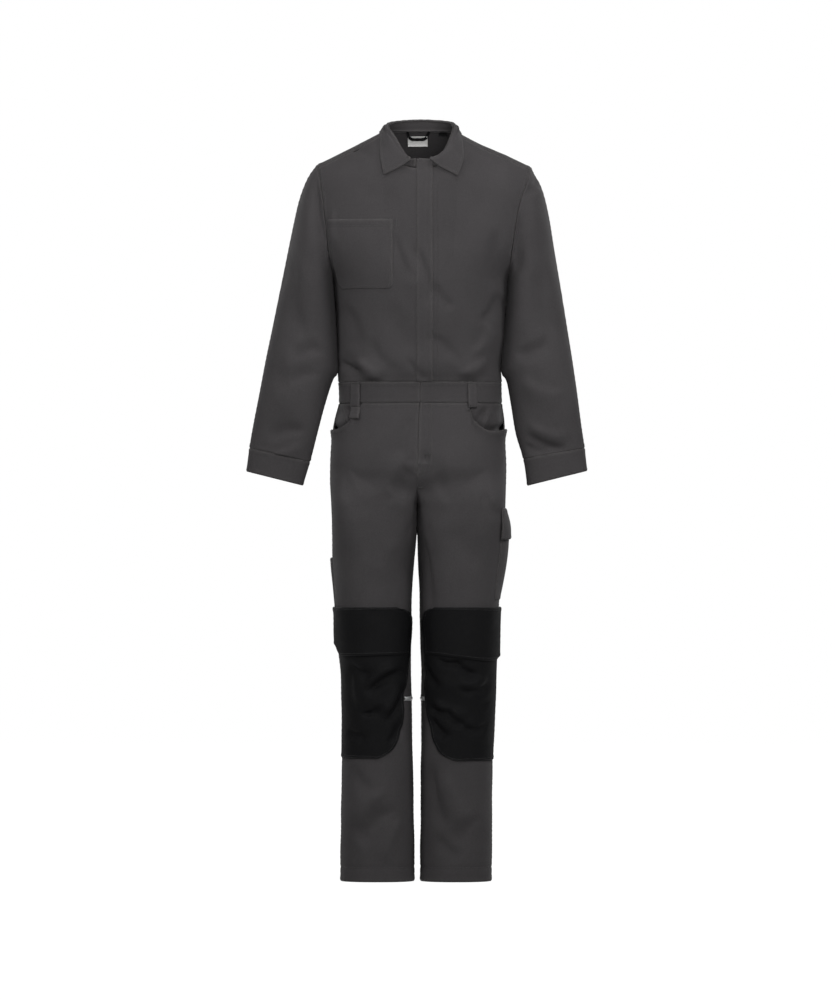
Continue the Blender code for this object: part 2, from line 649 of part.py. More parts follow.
def knees():
    """Knee pad pockets: a patch from the inner leg to the side seam, and its flap."""
    for word, side, table in (("right", -1, KNEE_RIGHT), ("left", 1, KNEE_LEFT)):
        heights = table[:, 0]
        lower = np.array([-961.0, -967, -979, -1000, -1030, -1062, -1100, -1150, -1190, -1225, -1250,
                          -1266, heights[-1]])
        edge = np.interp(-lower, -heights, table[:, 1])
        on_trouser(f"knee_patch_{word}", side, edge, None, lower, 12, slot="patch",
                   lift=lambda u: 1.0 + PAD * smooth(u / 0.15) * smooth((1 - u) / 0.12))
        flap = np.array([-959.0, -967, -979, -1000, -1030, -1058])
        edge = np.interp(-flap, -heights, table[:, 1]) + side * 3
        z = np.broadcast_to(flap[:, None], (len(flap), 12))
        u = stretch(on_leg(side, edge, flap), 1 + 0 * flap, np.linspace(0, 1, 12)).T
        hang = np.array([0, 0.1, 0.2, 0.4, 0.75, 1])[:, None] * np.linspace(0.25, 1, 12)[None]
        leg_piece(f"knee_flap_{word}", side, u, z, panel="leg_front", slot="patch",
                  lift=2 * ON_PANEL + PAD + WALL + FLAP_HANG[word] * hang)


def side_pockets():
    """Cargo pocket with flap on the left thigh, tool pocket on the right one."""
    heights = np.array([-802, -830, -860, -890, -918, -944.0])
    swell = np.array([1, 1, 0.9, 0.7, 0.4, 0])[:, None] * np.array([0, 0.8, 1, 1, 1, 0.8, 0])[None]
    round_side("cargo_pocket", 1, 0.83, 1.33, heights, 7, lift=ON_PANEL + 8.0 * swell)
    heights = np.array([-752, -772, -790, -806, -816.0])
    swell = np.array([0, 0.5, 0.9, 1.1, 1.15])[:, None] * np.array([0.45, 0.9, 1, 1, 1, 0.9, 0.45])[None]
    round_side("cargo_flap", 1, 0.815, 1.345, heights, 7, lift=ON_PANEL + 12.5 * swell)
    heights = np.array([-856, -885, -920, -960, -1000, -1040.0])
    swell = np.array([1, 0.9, 0.7, 0.45, 0.2, 0])[:, None] * np.array([0, 0.8, 1, 1, 0.8, 0])[None]
    round_side("tool_pocket", -1, 1.02, 1.42, heights, 6, lift=ON_PANEL + 9.0 * swell)


def piping():
    """Reflective trim over each knee seam, from the side seam behind to the patch in front."""
    for word, side, table in (("right", -1, KNEE_RIGHT), ("left", 1, KNEE_LEFT)):
        patch = np.interp(-KNEE_SEAM, -table[:, 0], table[:, 1])
        end = on_leg(side, patch - side * 1.5, KNEE_SEAM)
        u = np.concatenate([np.linspace(1.02, 2, 12), np.linspace(0, end, 4)[1:]])
        u, z = np.meshgrid(u, [KNEE_SEAM + 4, KNEE_SEAM - 4])
        leg_piece(f"piping_{word}", side, u, z, slot="reflective", wall=THIN,
                  lift=ON_PANEL + 0.5)


def neckline(place):
    """Neck seam, from the right front end at 0 round the back to the left at 1."""
    side = np.where(place < 0.5, -1.0, 1.0)
    q = 1 - np.abs(2 * place - 1)
    turn = np.clip(q / 0.6, 0, 1) * 90
    turn_back = np.clip((q - 0.6) / 0.4, 0, 1) * 90
    reach_back = NECK_HALF * np.cos(np.radians(turn_back))
    x_front = side * NECK_HALF * np.sin(np.radians(turn)) - OVERLAP * (1 - smooth(q / 0.25))
    z_front = neck_front(side, np.abs(x_front))
    z_back = np.minimum(NECK_BACK, ridge(side, reach_back) - 1)
    front = bodice(*on_bodice(NECK_MIDDLE + x_front, z_front))
    back = bodice(*on_bodice(NECK_MIDDLE + side * reach_back, z_back, back=True))
    return np.where((q < 0.6)[..., None], front, back)


def outward(points):
    """Level directions away from the middle of the neck."""
    away = points - np.array([NECK_MIDDLE, -15, 0])
    away[..., 2] = 0
    return away / np.maximum(np.linalg.norm(away, axis=-1, keepdims=True), 1e-9)


def collar():
    """Stand round the neck and the fall that turns down over it."""
    place = np.array([0.004, 0.06, 0.1, 0.14, 0.19, 0.24, 0.29, 0.34, 0.38, 0.42, 0.46])
    place = np.concatenate([place, [0.5], 1 - place[::-1]])
    seam = neckline(place)
    fold = np.stack([column(FOLD_LINE, place, k) for k in (1, 2, 3)], axis=-1)
    away = outward(seam)
    stand = np.stack([seam + (fold - seam) * t for t in (0.05, 0.35, 0.7, 1)])
    stand -= away * STAND_IN
    shell("collar_stand", stand, np.broadcast_to(away, stand.shape))
    place = np.array([0.05, 0.095, 0.14, 0.19, 0.24, 0.29, 0.34, 0.38, 0.42, 0.46])
    place = np.concatenate([place, [0.5], 1 - place[::-1]])
    fold = np.stack([column(FOLD_LINE, place, k) for k in (1, 2, 3)], axis=-1)
    x, z, behind = (column(FALL_EDGE, place, k) for k in (1, 2, 3))
    s, a = on_bodice(x, z)
    edge, off = along(bodice, 1.0, s, a + (180 - 2 * a) * np.clip(behind, 0, 1))
    edge += off * FALL_CLEAR
    away = outward(fold)
    over = np.stack([fold + away * out + UP * up for out, up in FALL_ROLL])
    bow = (away + UP) * FALL_BOW
    bow -= UP * FALL_DROP * (1 - smooth(np.minimum(place, 1 - place) / 0.14))[:, None]
    middle = [fold + (edge - fold) * t + bow * (1 - t) for t in (0.3, 0.6)]
    fall = np.concatenate([over, np.stack(middle), edge[None]])
    down = np.gradient(fall, axis=0)
    round_neck = np.gradient(fall, axis=1)
    normals = np.cross(down, round_neck)
    normals /= np.linalg.norm(normals, axis=-1, keepdims=True)
    normals *= np.sign((normals[3:] * away).sum())
    shell("collar_fall", fall, normals)


def labels():
    """Hanger loop, care label and size tag inside the back of the neck, all bare."""
    for name, x0, x1, z0, z1, deep, slot in (
            ("care_label", -19.5, 22.5, 28, 7.5, 2.0, "label_white"),
            ("hanger_loop", -24.5, 28.5, 38, 20, 3.8, "patch"),
            ("size_tag", 46.5, 64, 36, 29, 1.6, "patch")):
        x, z = np.meshgrid(np.linspace(x0, x1, 4), np.linspace(z0, z1, 3))
        s, a = on_bodice(x, z, back=True)
        body_piece(name, s, a, slot=slot, wall=THIN, lift=-WALL - deep - THIN)


def build():
    """Make every piece."""
    for old in list(bpy.data.objects):
        bpy.data.objects.remove(old)
    bodice_front("front_right", -1)
    bodice_front("front_left", 1)
    bodice_back("back")
    yoke("yoke")
    sleeves()
    collar()
    closure()
    waistband()
    belt_loops()
    chest_pocket()
    trousers()
    hip_pockets()
    knees()
    side_pockets()
    piping()
    labels()


build()
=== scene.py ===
"""Boiler suit, filled out as it is worn: cloth panels, seams, topstitching and a plain studio.

Frame: metres, +Z up, the front faces -Y, +X is the wearer's left. The tables are in
millimetres. The surface that they give is the outer face of the cloth, and a panel's
wall goes inwards from it.
"""
import math

import bpy
import numpy as np
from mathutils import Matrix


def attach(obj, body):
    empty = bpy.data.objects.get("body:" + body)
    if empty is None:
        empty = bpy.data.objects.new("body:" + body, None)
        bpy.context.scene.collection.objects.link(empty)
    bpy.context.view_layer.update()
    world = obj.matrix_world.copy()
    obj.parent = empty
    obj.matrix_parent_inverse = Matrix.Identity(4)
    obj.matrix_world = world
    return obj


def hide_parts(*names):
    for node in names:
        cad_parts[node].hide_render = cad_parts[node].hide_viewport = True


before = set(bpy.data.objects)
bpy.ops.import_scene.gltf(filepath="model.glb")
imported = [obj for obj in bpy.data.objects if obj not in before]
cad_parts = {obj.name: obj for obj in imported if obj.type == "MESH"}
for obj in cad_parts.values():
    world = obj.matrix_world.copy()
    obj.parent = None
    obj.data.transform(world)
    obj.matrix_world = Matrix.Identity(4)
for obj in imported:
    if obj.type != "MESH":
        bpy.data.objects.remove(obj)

bl_info = {
    "name": "Boiler suit",
    "version": (1, 0, 0),
    "blender": (4, 5, 0),
    "location": "View3D > Sidebar > Boiler suit",
    "description": "Makes a worn-form boiler suit from its cut panels, with seams and stitching",
    "category": "Add Mesh"}

MM = 0.001
BODY_NAME = "root"

UP = np.array([0, 0, 1.0])
SIDES = (("right", -1), ("left", 1))   # the wearer's sides, and the sign of x on each
PIECES = {}           # outer face and normals of each finished piece, for its stitching

# about how large the pieces are along the cloth, which sets how many rows their mesh has
FRONT_WIDE, FRONT_RISE = 285, 290   # the rise is what lies above the armpit
BACK_WIDE, BACK_RISE = 570, 150
YOKE_WIDE, YOKE_LONG = 600, 200
SLEEVE_HALF, SLEEVE_LONG = 215, 620
CUFF_ROUND, CUFF_LONG = 250, 50
STAND_ROUND, STAND_HIGH = 460, 30
FALL_ROUND, FALL_LONG = 420, 55
PLACKET_WIDE, PLACKET_LONG = 34, 466
FLY_WIDE = 33
CHEST_WIDE = 135
HIP_POCKET_WIDE = 112
KNEE_WIDE, KNEE_LONG = 200, 315
LOOP_HIGH = 40
TAB_WIDE, TAB_HIGH = 20, 26
BAND_WIDE = 265       # each front waistband; the back one is twice as long
LEG_WIDE = 290        # each half of a leg
WAIST_TO_ROW = 100    # trouser front and back above their first level row
LEG_ROUND = 320       # u from 0 to 1 is about this much of a thigh

# walls and gaps
WALL = 1.5            # cloth thickness, seams allowed for
DOUBLED = 2.0         # cuffs and belt loops are two layers thick
FALL_WALL = 2.2       # and the collar's fall is interlined
THIN = 1.0            # thickness of tapes and labels
LAP = 0.25            # neighbouring panels run this far into each other's seam
LAID = 0.3            # gap under a piece that is sewn on a panel
UNDER = 0.4           # and this much more where another layer lies between

# mesh
CELL = 5.0            # spacing of the mesh on the large panels
MEDIUM = 4.0          # on the pockets and the knees
FINE = 3.0            # on the small pieces
FINEST = 2.0          # and along the belt loops
EDGE_ROWS = (0.8, 2.2, 5, 9, 12)   # rows this far in from an edge, where the cloth rolls
FEW_EDGE_ROWS = (0.8, 2.2)
SHARP = math.radians(50)           # a wall's own edge stays crisp from this angle on
HALVINGS = 24         # rounds of halving that find a place on a leg
TINY = 1e-9           # keeps a length of nothing from being divided by

# heights and depths of the cut
ROUND = 2.4           # exponent of the body's rounded-square sections
ARMPIT = -273.0
WAIST_TOP = -488.0
WAIST_LOW = -532.0
RISE_TOP = -664.0     # the fork begins here
CROTCH = -748.0
RISE_LOW_ROW = -640.0  # the trousers' rows are level from here down
KNEE_SEAM = -1151.0   # each leg is cut across here, and the reflective trim caught in it
HEM = -1534.0
SIDE_Y = 8.0          # depth of the side seams and of the shoulder ridge
FORK_SHARE = 0.3      # part of a leg's front that lies inside the fork
FORK_BLEND = 0.45     # and the part over which the rise curves into the leg
SEAT_FROM = -560.0    # the hips' sections get squarer from here down
SEAT_OVER = 100.0     # over this height
SEAT_SQUARER = 0.5    # by this much of the exponent
ARMHOLE_ANGLE = 58.0  # where the armhole cuts the body's section, from the middle
ARMHOLE_CURVE = 85.0  # it curves out to the side seam over this height

# neck, shoulders and collar
NECK_HALF = 84.0
NECK_MIDDLE = 8.5     # the neck's own middle, from the suit's
NECK_CENTRE = np.array([NECK_MIDDLE, -15, 0])
NECK_FRONT = -42.0
NECK_BACK = 40.0
NECK_SHARE = 0.6      # part of each half of the neck seam that lies in front
OVERLAP = 9.0         # the collar's front ends meet this far off the neck's middle
OVERLAP_SHARE = 0.25  # and come back to it over this part of the seam
SHOULDER_DROP = 9.0   # the yoke comes this far over the ridge to the front
YOKE_LOW = -125.0
STAND_IN = 0.8        # the collar stand rises this far inside the neck seam
STAND_FOOT = 0.05     # and starts this part of its height above it
STAND_ENDS = 0.004    # each of its ends stops this part of the neck seam before they meet
FALL_ENDS = 0.05      # and each end of the fall is set back by this part
FALL_CLEAR = 6.0      # the collar's edge lies this far off the shoulders
FALL_CLOSER = 3.0     # and this much closer from shoulder to shoulder behind
CREST_CLOSER = 1.0    # and closer still where it crosses the shoulder's crest
FALL_BOW = 6.0        # the fall bows this far out and up near its fold
FALL_DROP = 17.0      # the fall's front ends hang this far below the straight line
FALL_DROP_OVER = 0.14   # and come back to it over this part of the seam
FALL_BELOW = (0.3, 0.6)   # its rows between the fold and the edge
FALL_ROLL = [(-1.0, 2.2), (3.2, 3.4), (8.0, -2.0)]  # its rows over the fold: outward, up

# pockets, knees, loops and trims
MOUTH_GAPE = 5.0      # a scooped pocket's edge stands this far off its backing
MOUTH_REACH = 16.0    # and falls back over this height
MOUTH_DEEP = 9.0      # the backing drops away by this much under the mouth
POCKET_DEEP = 3.0     # and lies this much deeper than the wall that it hangs from
POCKET_INNER = {"right": -100, "left": 92}   # x of the backing's inner edge
POCKET_LONG = 74
POCKET_SIDE = 0.992   # it ends at this u, just short of the side seam
PAD = 2.6             # how far the knee patches stand off over their pads
FLAP_HANG = {"right": 4.5, "left": 3.0}   # how far a knee flap's lower edge stands off
NOTCH = {"right": 22, "left": 7}   # a knee flap's outer corner is cut up by this much
SLANT = {"right": 2, "left": 12}   # and its lower edge hangs lower outside by this much
# belt loops: node, middle's x, whether it is on the back
BELT_LOOPS = (("loop_front_right", -128, False), ("loop_front_left", 115, False),
              ("loop_back_right", -70, True), ("loop_back_left", 83, True))
LOOP_WIDE = 18
LOOP_TOP = WAIST_TOP - 1.5
LOOP_LONG = 53
LOOP_BOW = 3.0        # how far a belt loop stands off the band
LOOP_OVER = 2.2       # and its lower end lies this far over the trousers
TAB_EDGES = (-119, -137)   # inner and outer x of the tab under the right front loop
TAB_TOP = WAIST_LOW - 9
TAB_LONG = 25
TAB_FLARE = 5.5       # its lower end stands off by this much
PLACKET_TOP = -23.0   # the placket runs up over the collar's stand
PLACKET_TURN = NECK_FRONT - 1.5   # it leaves the fronts at this height
PLACKET_LEAN = 0.12   # and leans back by this much of its rise from there on
PLACKET_EDGES = (-1.2, 33)   # x of its two edges
PLACKET_HEM = 10
FLY_EDGES = (0.6, 33)
FLY_PROUD = 0.12      # the fly lies this far over the trousers that it is set into
CHEST_TOP = -149
CHEST_LONG = 145
CHEST_INNER = -50     # x of the chest pocket's inner edge
CHEST_CORNER = 16     # height of its rounded lower corners
CHEST_DRAW = 12       # and their width
CHEST_PUFF = 1.3      # its middle stands off the chest by this much
CHEST_EDGE = np.array([(-149, -186), (-215, -179), (-294, -163.0)])   # outer edge: z, x
KNEE_TOP = -962.0
FLAP_TOP = -959.0
FLAP_LONG = 99
FLAP_BACK = 5         # its inner edge lies this far outside the patch's
FLAP_OVER = 1.2       # and it lies this far over the patch
# node, side, u of both edges, top, bottom, swell, and its share across and down the pocket
SIDE_POCKETS = (
    ("cargo_pocket", 1, 0.83, 1.33, -802, -944, 8.0,
     [0, 0.8, 1, 1, 1, 0.8, 0], [1, 1, 0.9, 0.7, 0.4, 0]),
    ("cargo_flap", 1, 0.795, 1.345, -752, -816, 10.5,
     [0.45, 0.9, 1, 1, 1, 0.9, 0.45], [0, 0.5, 0.9, 1.1, 1.15]),
    ("tool_pocket", -1, 1.02, 1.42, -856, -1040, 9.0,
     [0, 0.8, 1, 1, 0.8, 0], [1, 0.9, 0.7, 0.45, 0.2, 0]))
TRIM_HIGH = 8
TRIM_START = 1.01     # the reflective trim starts at this u, just behind the side seam
TRIM_SHORT = 0.5      # and stops this far short of the knee patch
# labels inside the neck: node, x of both edges, top, bottom, how deep inside, slot, look
LABELS = (("care_label", -19.5, 22.5, 28, 7.5, 2.0, "label_white", "label_white"),
          ("size_tag", 46.5, 64, 36, 29, 1.6, "patch", "tape"))
LABEL_RISE = 5.5      # they sit this much higher than their seam line
HANGER_PATH = np.array([(-24.5, 38), (-20, 28), (-13, 21), (2, 20), (17, 21), (24, 28),
                        (28.5, 38)])
HANGER_WIDE = 5.5
HANGER_DEEP = 3.8

# folds, creases and sewn edges
FOLDS_START = 28.0    # the trousers' folds die out this near the middle
CREASE_DEPTH = 2.1    # scale of the finer creases' heights
LONG_FLANK = 1.8      # a crease falls off this much slower on one side
CREASE_END = 0.15     # it runs on past its ends by this part of its length
CREASE_TAPER = 0.4    # and dies out over this part
WIDE_HAND = 0.8       # height of the worn cloth's wide unevenness
FINE_HAND = 0.22      # and of its fine one
ROLL = 1.1            # how far an edge rolls in where the cloth turns
ROLL_REACH = 1.3
PUCKER = 0.28         # height of the puckers along a seam's stitching
PUCKER_AT = 5.0       # they lie this far in from the seam
PUCKER_PITCH = 1.9    # seam that one radian of a pucker's wave takes up
FELL = 0.35           # a felled seam stands this much over the cloth
FELL_WIDE = 9.5
GROOVE = 1.0          # depth of the line that a hem's stitching presses in
GROOVE_REACH = 2.2
EDGE_REACH = 4.5      # wear reaches this far in from an edge
SIDE_FADE = 0.1       # the bodice's folds die out over this part of it beside a side seam
HAND_FADE = 0.06      # and its unevenness over this part
WAIST_FADE = 9        # the folds die out this near the waist seam
LEG_FADE = 0.08       # a leg's folds die out over this part of it beside the side seam
ARM_FADE = 0.3        # a sleeve's die out towards its seams
HEAD_FADE = 0.8       # and over this many rows below the armhole
LEGS_TOUCH = 1.0      # above the crotch the two legs press together by this much
LEGS_PART = -812.0    # and they part below this height

# stitching: distances in from an edge
ROW = 2.0             # a single row, and the nearer one of a pair
SECOND_ROW = 8.0      # the farther one
PATCH_ROWS = (1.5, 7)  # the two rows round a pocket or a patch
HEM_ROW = 31          # the trousers' hems
CHEST_HEM = 15        # the chest pocket's mouth
SIDE_HEM = 18         # the cargo and tool pockets' mouths
TOPSTITCH = 6         # collar, cuff and flap edges
THREAD_PROUD = 0.15   # a stitch's middle lies this far out of the cloth
TRACE_STEP = 3        # points this far apart lead a free line over the cloth
FLAP_ROW = 5          # the cargo flap's sides and lower edge
BAR_ROW = 3           # bartacks at a belt loop's ends, and the cuffs' openings
BAR_HALF = 5          # half the length of a bartack on the trousers
BARTACK_PITCH = 0.0009   # metres from stitch to stitch
FLY_LIFT, LEG_BAR_LIFT, POCKET_BAR_LIFT = 2.2, 1.0, 1.6   # height over the panels below
PLACKET_ROW = ((43, -62), (43, -486))   # x and z of the row beside the placket
PEN_ROW = ((-147, -150), (-147, -292))   # and of the row that parts the chest pocket
POCKET_BARS = (-54, -43, -147)   # x of the bars at the chest pocket's mouth and pen slot
LEG_BARS = ((-1, -128, -562), (1, 109, -548), (1, 8, -700), (1, 22, -640))   # side, x, z
# the fly's two rows, x and z from the waist seam down to the fork
FLY_ROWS = (((32, -533), (32, -620), (30, -650), (25, -672), (16, -685), (4, -691)),
            ((26, -533), (26, -618), (24, -645), (20, -664), (13, -677), (4, -683)))

# cloth's look: lumps of noise a metre
CLOUDS = 7.0          # uneven dye
LUMPS = 75.0          # soft hand of the cloth
RUBS = 130.0          # spots where an edge is rubbed
FLECKS = 520.0        # yarns that took the dye a little darker or paler
BEADS = 1400.0        # glass beads, drawn coarser than they are so that they show
TWISTS = 1800.0       # twist of the sewing thread
GRIT = 400.0          # tooth of the floor's paper
WAVES = 20            # radians that a wave texture of scale 1 runs through in a metre

# stage, in metres
FLOOR_RADIUS = 9.0
FLOOR_SIDES = 96
FLOOR_UNDER = 0.001   # it lies this far under the hems
FLOOR_PLAIN = 1.2     # the floor stays plain this far round the suit
FLOOR_LIT = 0.85      # share of the floor's white that doesn't hang on the lamps
ROOM = 0.15           # light that the white room throws back
SENSOR = 36           # millimetres of film behind the lens
# lamps: name, place, size, power in watts, aimed at
LAMPS = (("front", (0.3, -2.7, 0.15), 1.3, 47, (0, 0, -0.3)),
         ("left", (2.5, -1.7, 1.2), 1.3, 44, (0, 0, -0.3)),
         ("right", (-2.5, -1.7, 1.2), 1.3, 40, (0, 0, -0.3)),
         ("top", (0.1, -0.5, 2.2), 1.2, 24, (0, 0, -0.2)),
         ("rear left", (2.3, 2.4, 0.7), 1.3, 42, (0, 0, -0.5)),
         ("rear right", (-2.3, 2.4, 0.7), 1.3, 42, (0, 0, -0.5)))

# bodice: height, middle, half width right and left, depth front and back
BODY = np.array([
    (-532, 6.0, 169, 172, 112, 112),
    (-488, 6.5, 171, 171, 112, 108),
    (-468, 6.5, 173, 170, 119, 114),
    (-400, 7.0, 175, 175, 122, 117),
    (-315, 7.5, 180, 180, 130, 122),
    (-273, 7.5, 184, 184, 133, 126),
    (-241, 7.8, 190, 187, 133, 128),
    (-174, 8.0, 198, 197, 133, 130),
    (-120, 8.2, 204, 206, 133, 130),
    (-60, 8.4, 213, 225, 133, 130),
    (-30, 8.5, 218, 231, 133, 130),
    (60, 8.5, 218, 231, 133, 130)])

# line of the shoulder's ridge: distance from the middle and height, each side
RIDGE_RIGHT = np.array([(0, 62), (62, 52), (92, 33), (134, 10.5), (176, -10.5), (218, -31)])
RIDGE_LEFT = np.array([(0, 62), (62, 52), (85, 33), (128, 10.5), (177, -10.5), (231, -36)])

# hips: height, middle, half width right and left, depth front and back
HIPS = np.array([
    (-532, 6.0, 169, 172, 112, 112),
    (-560, 4.5, 176, 178, 119, 124),
    (-590, 3.5, 181, 181, 123.5, 134),
    (-650, 2.0, 184, 185, 128, 142),
    (-700, 0.5, 182.5, 186, 128, 142),
    (-748, 0.0, 180, 186, 126, 134)])

# legs: height, inner and outer edge from the middle, depth front and back, squareness
LEG_RIGHT = np.array([
    (-690, 0.4, 182, 124.5, 140, 4.4),
    (-748, 0.4, 180, 124, 134, 4.1),
    (-801, 0.6, 178, 121, 118, 3.3),
    (-860, 6.5, 177, 112, 108, 2.6),
    (-935, 11, 173, 104, 98, 2.4),
    (-1029, 13, 165, 96, 88, 2.3),
    (-1092, 13.2, 159, 92, 82, 2.3),
    (-1150, 12.4, 157, 86, 82, 2.3),
    (-1275, 9.5, 156.5, 80, 86, 2.3),
    (-1400, 7.0, 160, 77, 80, 2.3),
    (-1534, 5.0, 161, 75, 77, 2.3)])
LEG_LEFT = np.array([
    (-690, 0.4, 187, 124.5, 140, 4.4),
    (-748, 0.4, 186, 124, 134, 4.1),
    (-801, 0.6, 184, 121, 118, 3.3),
    (-860, 2.6, 180, 112, 108, 2.6),
    (-935, 5.2, 173, 104, 98, 2.4),
    (-1029, 7.8, 168, 96, 88, 2.3),
    (-1092, 9.3, 165, 92, 82, 2.3),
    (-1150, 9.5, 163, 86, 82, 2.3),
    (-1275, 9.0, 159, 80, 86, 2.3),
    (-1400, 7.6, 157, 77, 80, 2.3),
    (-1534, 6.2, 157, 75, 77, 2.3)])

# sleeves: outer edge x z, inner edge x z, middle depth, half depth (first row: armhole)
SLEEVE_RIGHT = np.array([
    (-210, -31.5, -177, -274, 8, 65),
    (-224, -50, -175.25, -284, 8, 70),
    (-235, -71, -173.95, -298, 8, 73),
    (-247, -105, -172.55, -316, 7, 75),
    (-257, -147, -170.85, -340, 6, 75),
    (-270, -210, -169.25, -372, 3, 72),
    (-287, -294, -166.55, -420, -2, 64),
    (-304, -378, -166.35, -466, -8, 55),
    (-317, -441, -177, -485, -12, 49),
    (-330, -510, -193, -535, -16, 42),
    (-343, -576, -209, -596, -19, 34),
    (-351.5, -626, -224, -655, -21, 28),
    (-358, -675, -239, -705, -22, 26)])
SLEEVE_LEFT = np.array([
    (240.5, -36.5, 192.5, -274, 8, 65),
    (250, -56, 190.55, -285, 8, 70),
    (259, -73, 189.15, -300, 8, 73),
    (269, -105, 187.45, -318, 7, 75),
    (278, -147, 185.65, -342, 6, 75),
    (288, -210, 183.95, -374, 3, 72),
    (302, -294, 179.05, -420, -2, 64),
    (315.5, -378, 176.85, -466, -8, 55),
    (325.5, -441, 188, -487, -12, 49),
    (335.5, -510, 197, -535, -16, 42),
    (344, -576, 207, -596, -19, 34),
    (351.5, -626, 222.5, -649, -21, 28),
    (357, -674, 231, -705, -22, 26)])
SLEEVE_CLEAR = -0.4   # its head starts this far out of and under the armhole (minus: inside)
SLEEVE_SET_IN = 3.0   # and takes its own form over this many rows of the tables
CUFF_SPLIT = 1.25     # the cuff's opening lies on the outer back of the wrist
CUFF_AT = 11.0        # the cuff starts at this row of the tables
CUFF_GAP = 0.03       # and each of its two ends stops this much of u short of the opening

# largest folds: panel, x and z at both ends, half width, height (minus is a trough)
FOLDS = [
    ("front", -118, -452, -68, -478, 20, 5.0),
    ("front", 62, -440, 128, -474, 20, 4.5),
    ("front", -150, -430, -128, -478, 16, -4.0),
    ("front", 130, -380, 160, -470, 18, -4.0),
    ("front", -60, -330, -14, -430, 24, -3.0),
    ("back", -110, -440, -20, -476, 24, 6.0),
    ("back", 30, -470, 130, -436, 24, 6.0),
    ("back", -150, -300, -60, -420, 30, -4.0),
    ("back", 60, -420, 150, -310, 30, -4.0),
    ("leg_front", -8, -690, -60, -610, 20, -2.5),
    ("leg_front", 8, -700, 70, -640, 22, 2.0),
    ("leg_front", -12, -760, -90, -700, 22, 2.5),
    ("leg_front", 12, -770, 100, -730, 24, -2.0),
    ("leg_front", -40, -1100, -130, -1060, 18, 3.0),
    ("leg_front", -40, -1180, -140, -1130, 18, 3.5),
    ("leg_front", 40, -1110, 140, -1150, 18, 3.5),
    ("leg_front", 50, -1190, 140, -1220, 18, 3.0),
    ("leg_back", -30, -770, -120, -830, 26, -5.0),
    ("leg_back", 30, -770, 120, -830, 26, -5.0),
    ("leg_back", -30, -1120, -140, -1100, 18, -5.0),
    ("leg_back", 30, -1110, 140, -1130, 18, -5.0)]

# pocket mouths: distance from the middle and height of the trouser front's upper edge
SCOOP_RIGHT = np.array([(122, -532), (128, -548), (134, -566), (143, -578), (156, -586),
                        (181, -588)])
SCOOP_LEFT = np.array([(110, -532), (113, -556), (123, -574), (138, -588), (156, -592),
                       (184, -586)])

# knee patches: height, inner edge x, each leg
KNEES = {
    "right": np.array([
        (-960, -36), (-967, -22), (-979, -14), (-1030, -15), (-1090, -22), (-1160, -27),
        (-1212, -33), (-1245, -44), (-1264, -60), (-1274, -80)]),
    "left": np.array([
        (-960, 31), (-967, 20), (-979, 15), (-1030, 16), (-1090, 18), (-1160, 20),
        (-1212, 29), (-1248, 40), (-1270, 58), (-1279, 80)])}

# collar, from its right front end round the back: place, then x y z of the stand's top
FOLD_LINE = np.array([
    (0.00, -1.6, -91, -21), (0.06, -15, -88, -22), (0.14, -28, -77, -8), (0.24, -47, -48, 24),
    (0.34, -61, -10, 50), (0.42, -42, 33, 58.5), (0.50, 8.5, 50, 62.5), (0.58, 60, 33, 58.5),
    (0.66, 77, -10, 50), (0.76, 71, -48, 24), (0.86, 54, -77, -8), (0.94, 31, -88, -22),
    (1.00, 0.2, -91, -21)])
# the same places: x z of the fall's lower edge, and whether it lies on the back
FALL_EDGE = np.array([
    (0.05, -68, -57, 0), (0.14, -75, -24, 0), (0.24, -77, 9, 0), (0.34, -77.5, 32, 0.5),
    (0.42, -60, 20, 1), (0.50, 8.5, 12, 1), (0.58, 77, 20, 1), (0.66, 89, 31, 0.5),
    (0.76, 96, 8, 0), (0.86, 96, -25, 0), (0.95, 84, -59, 0)])

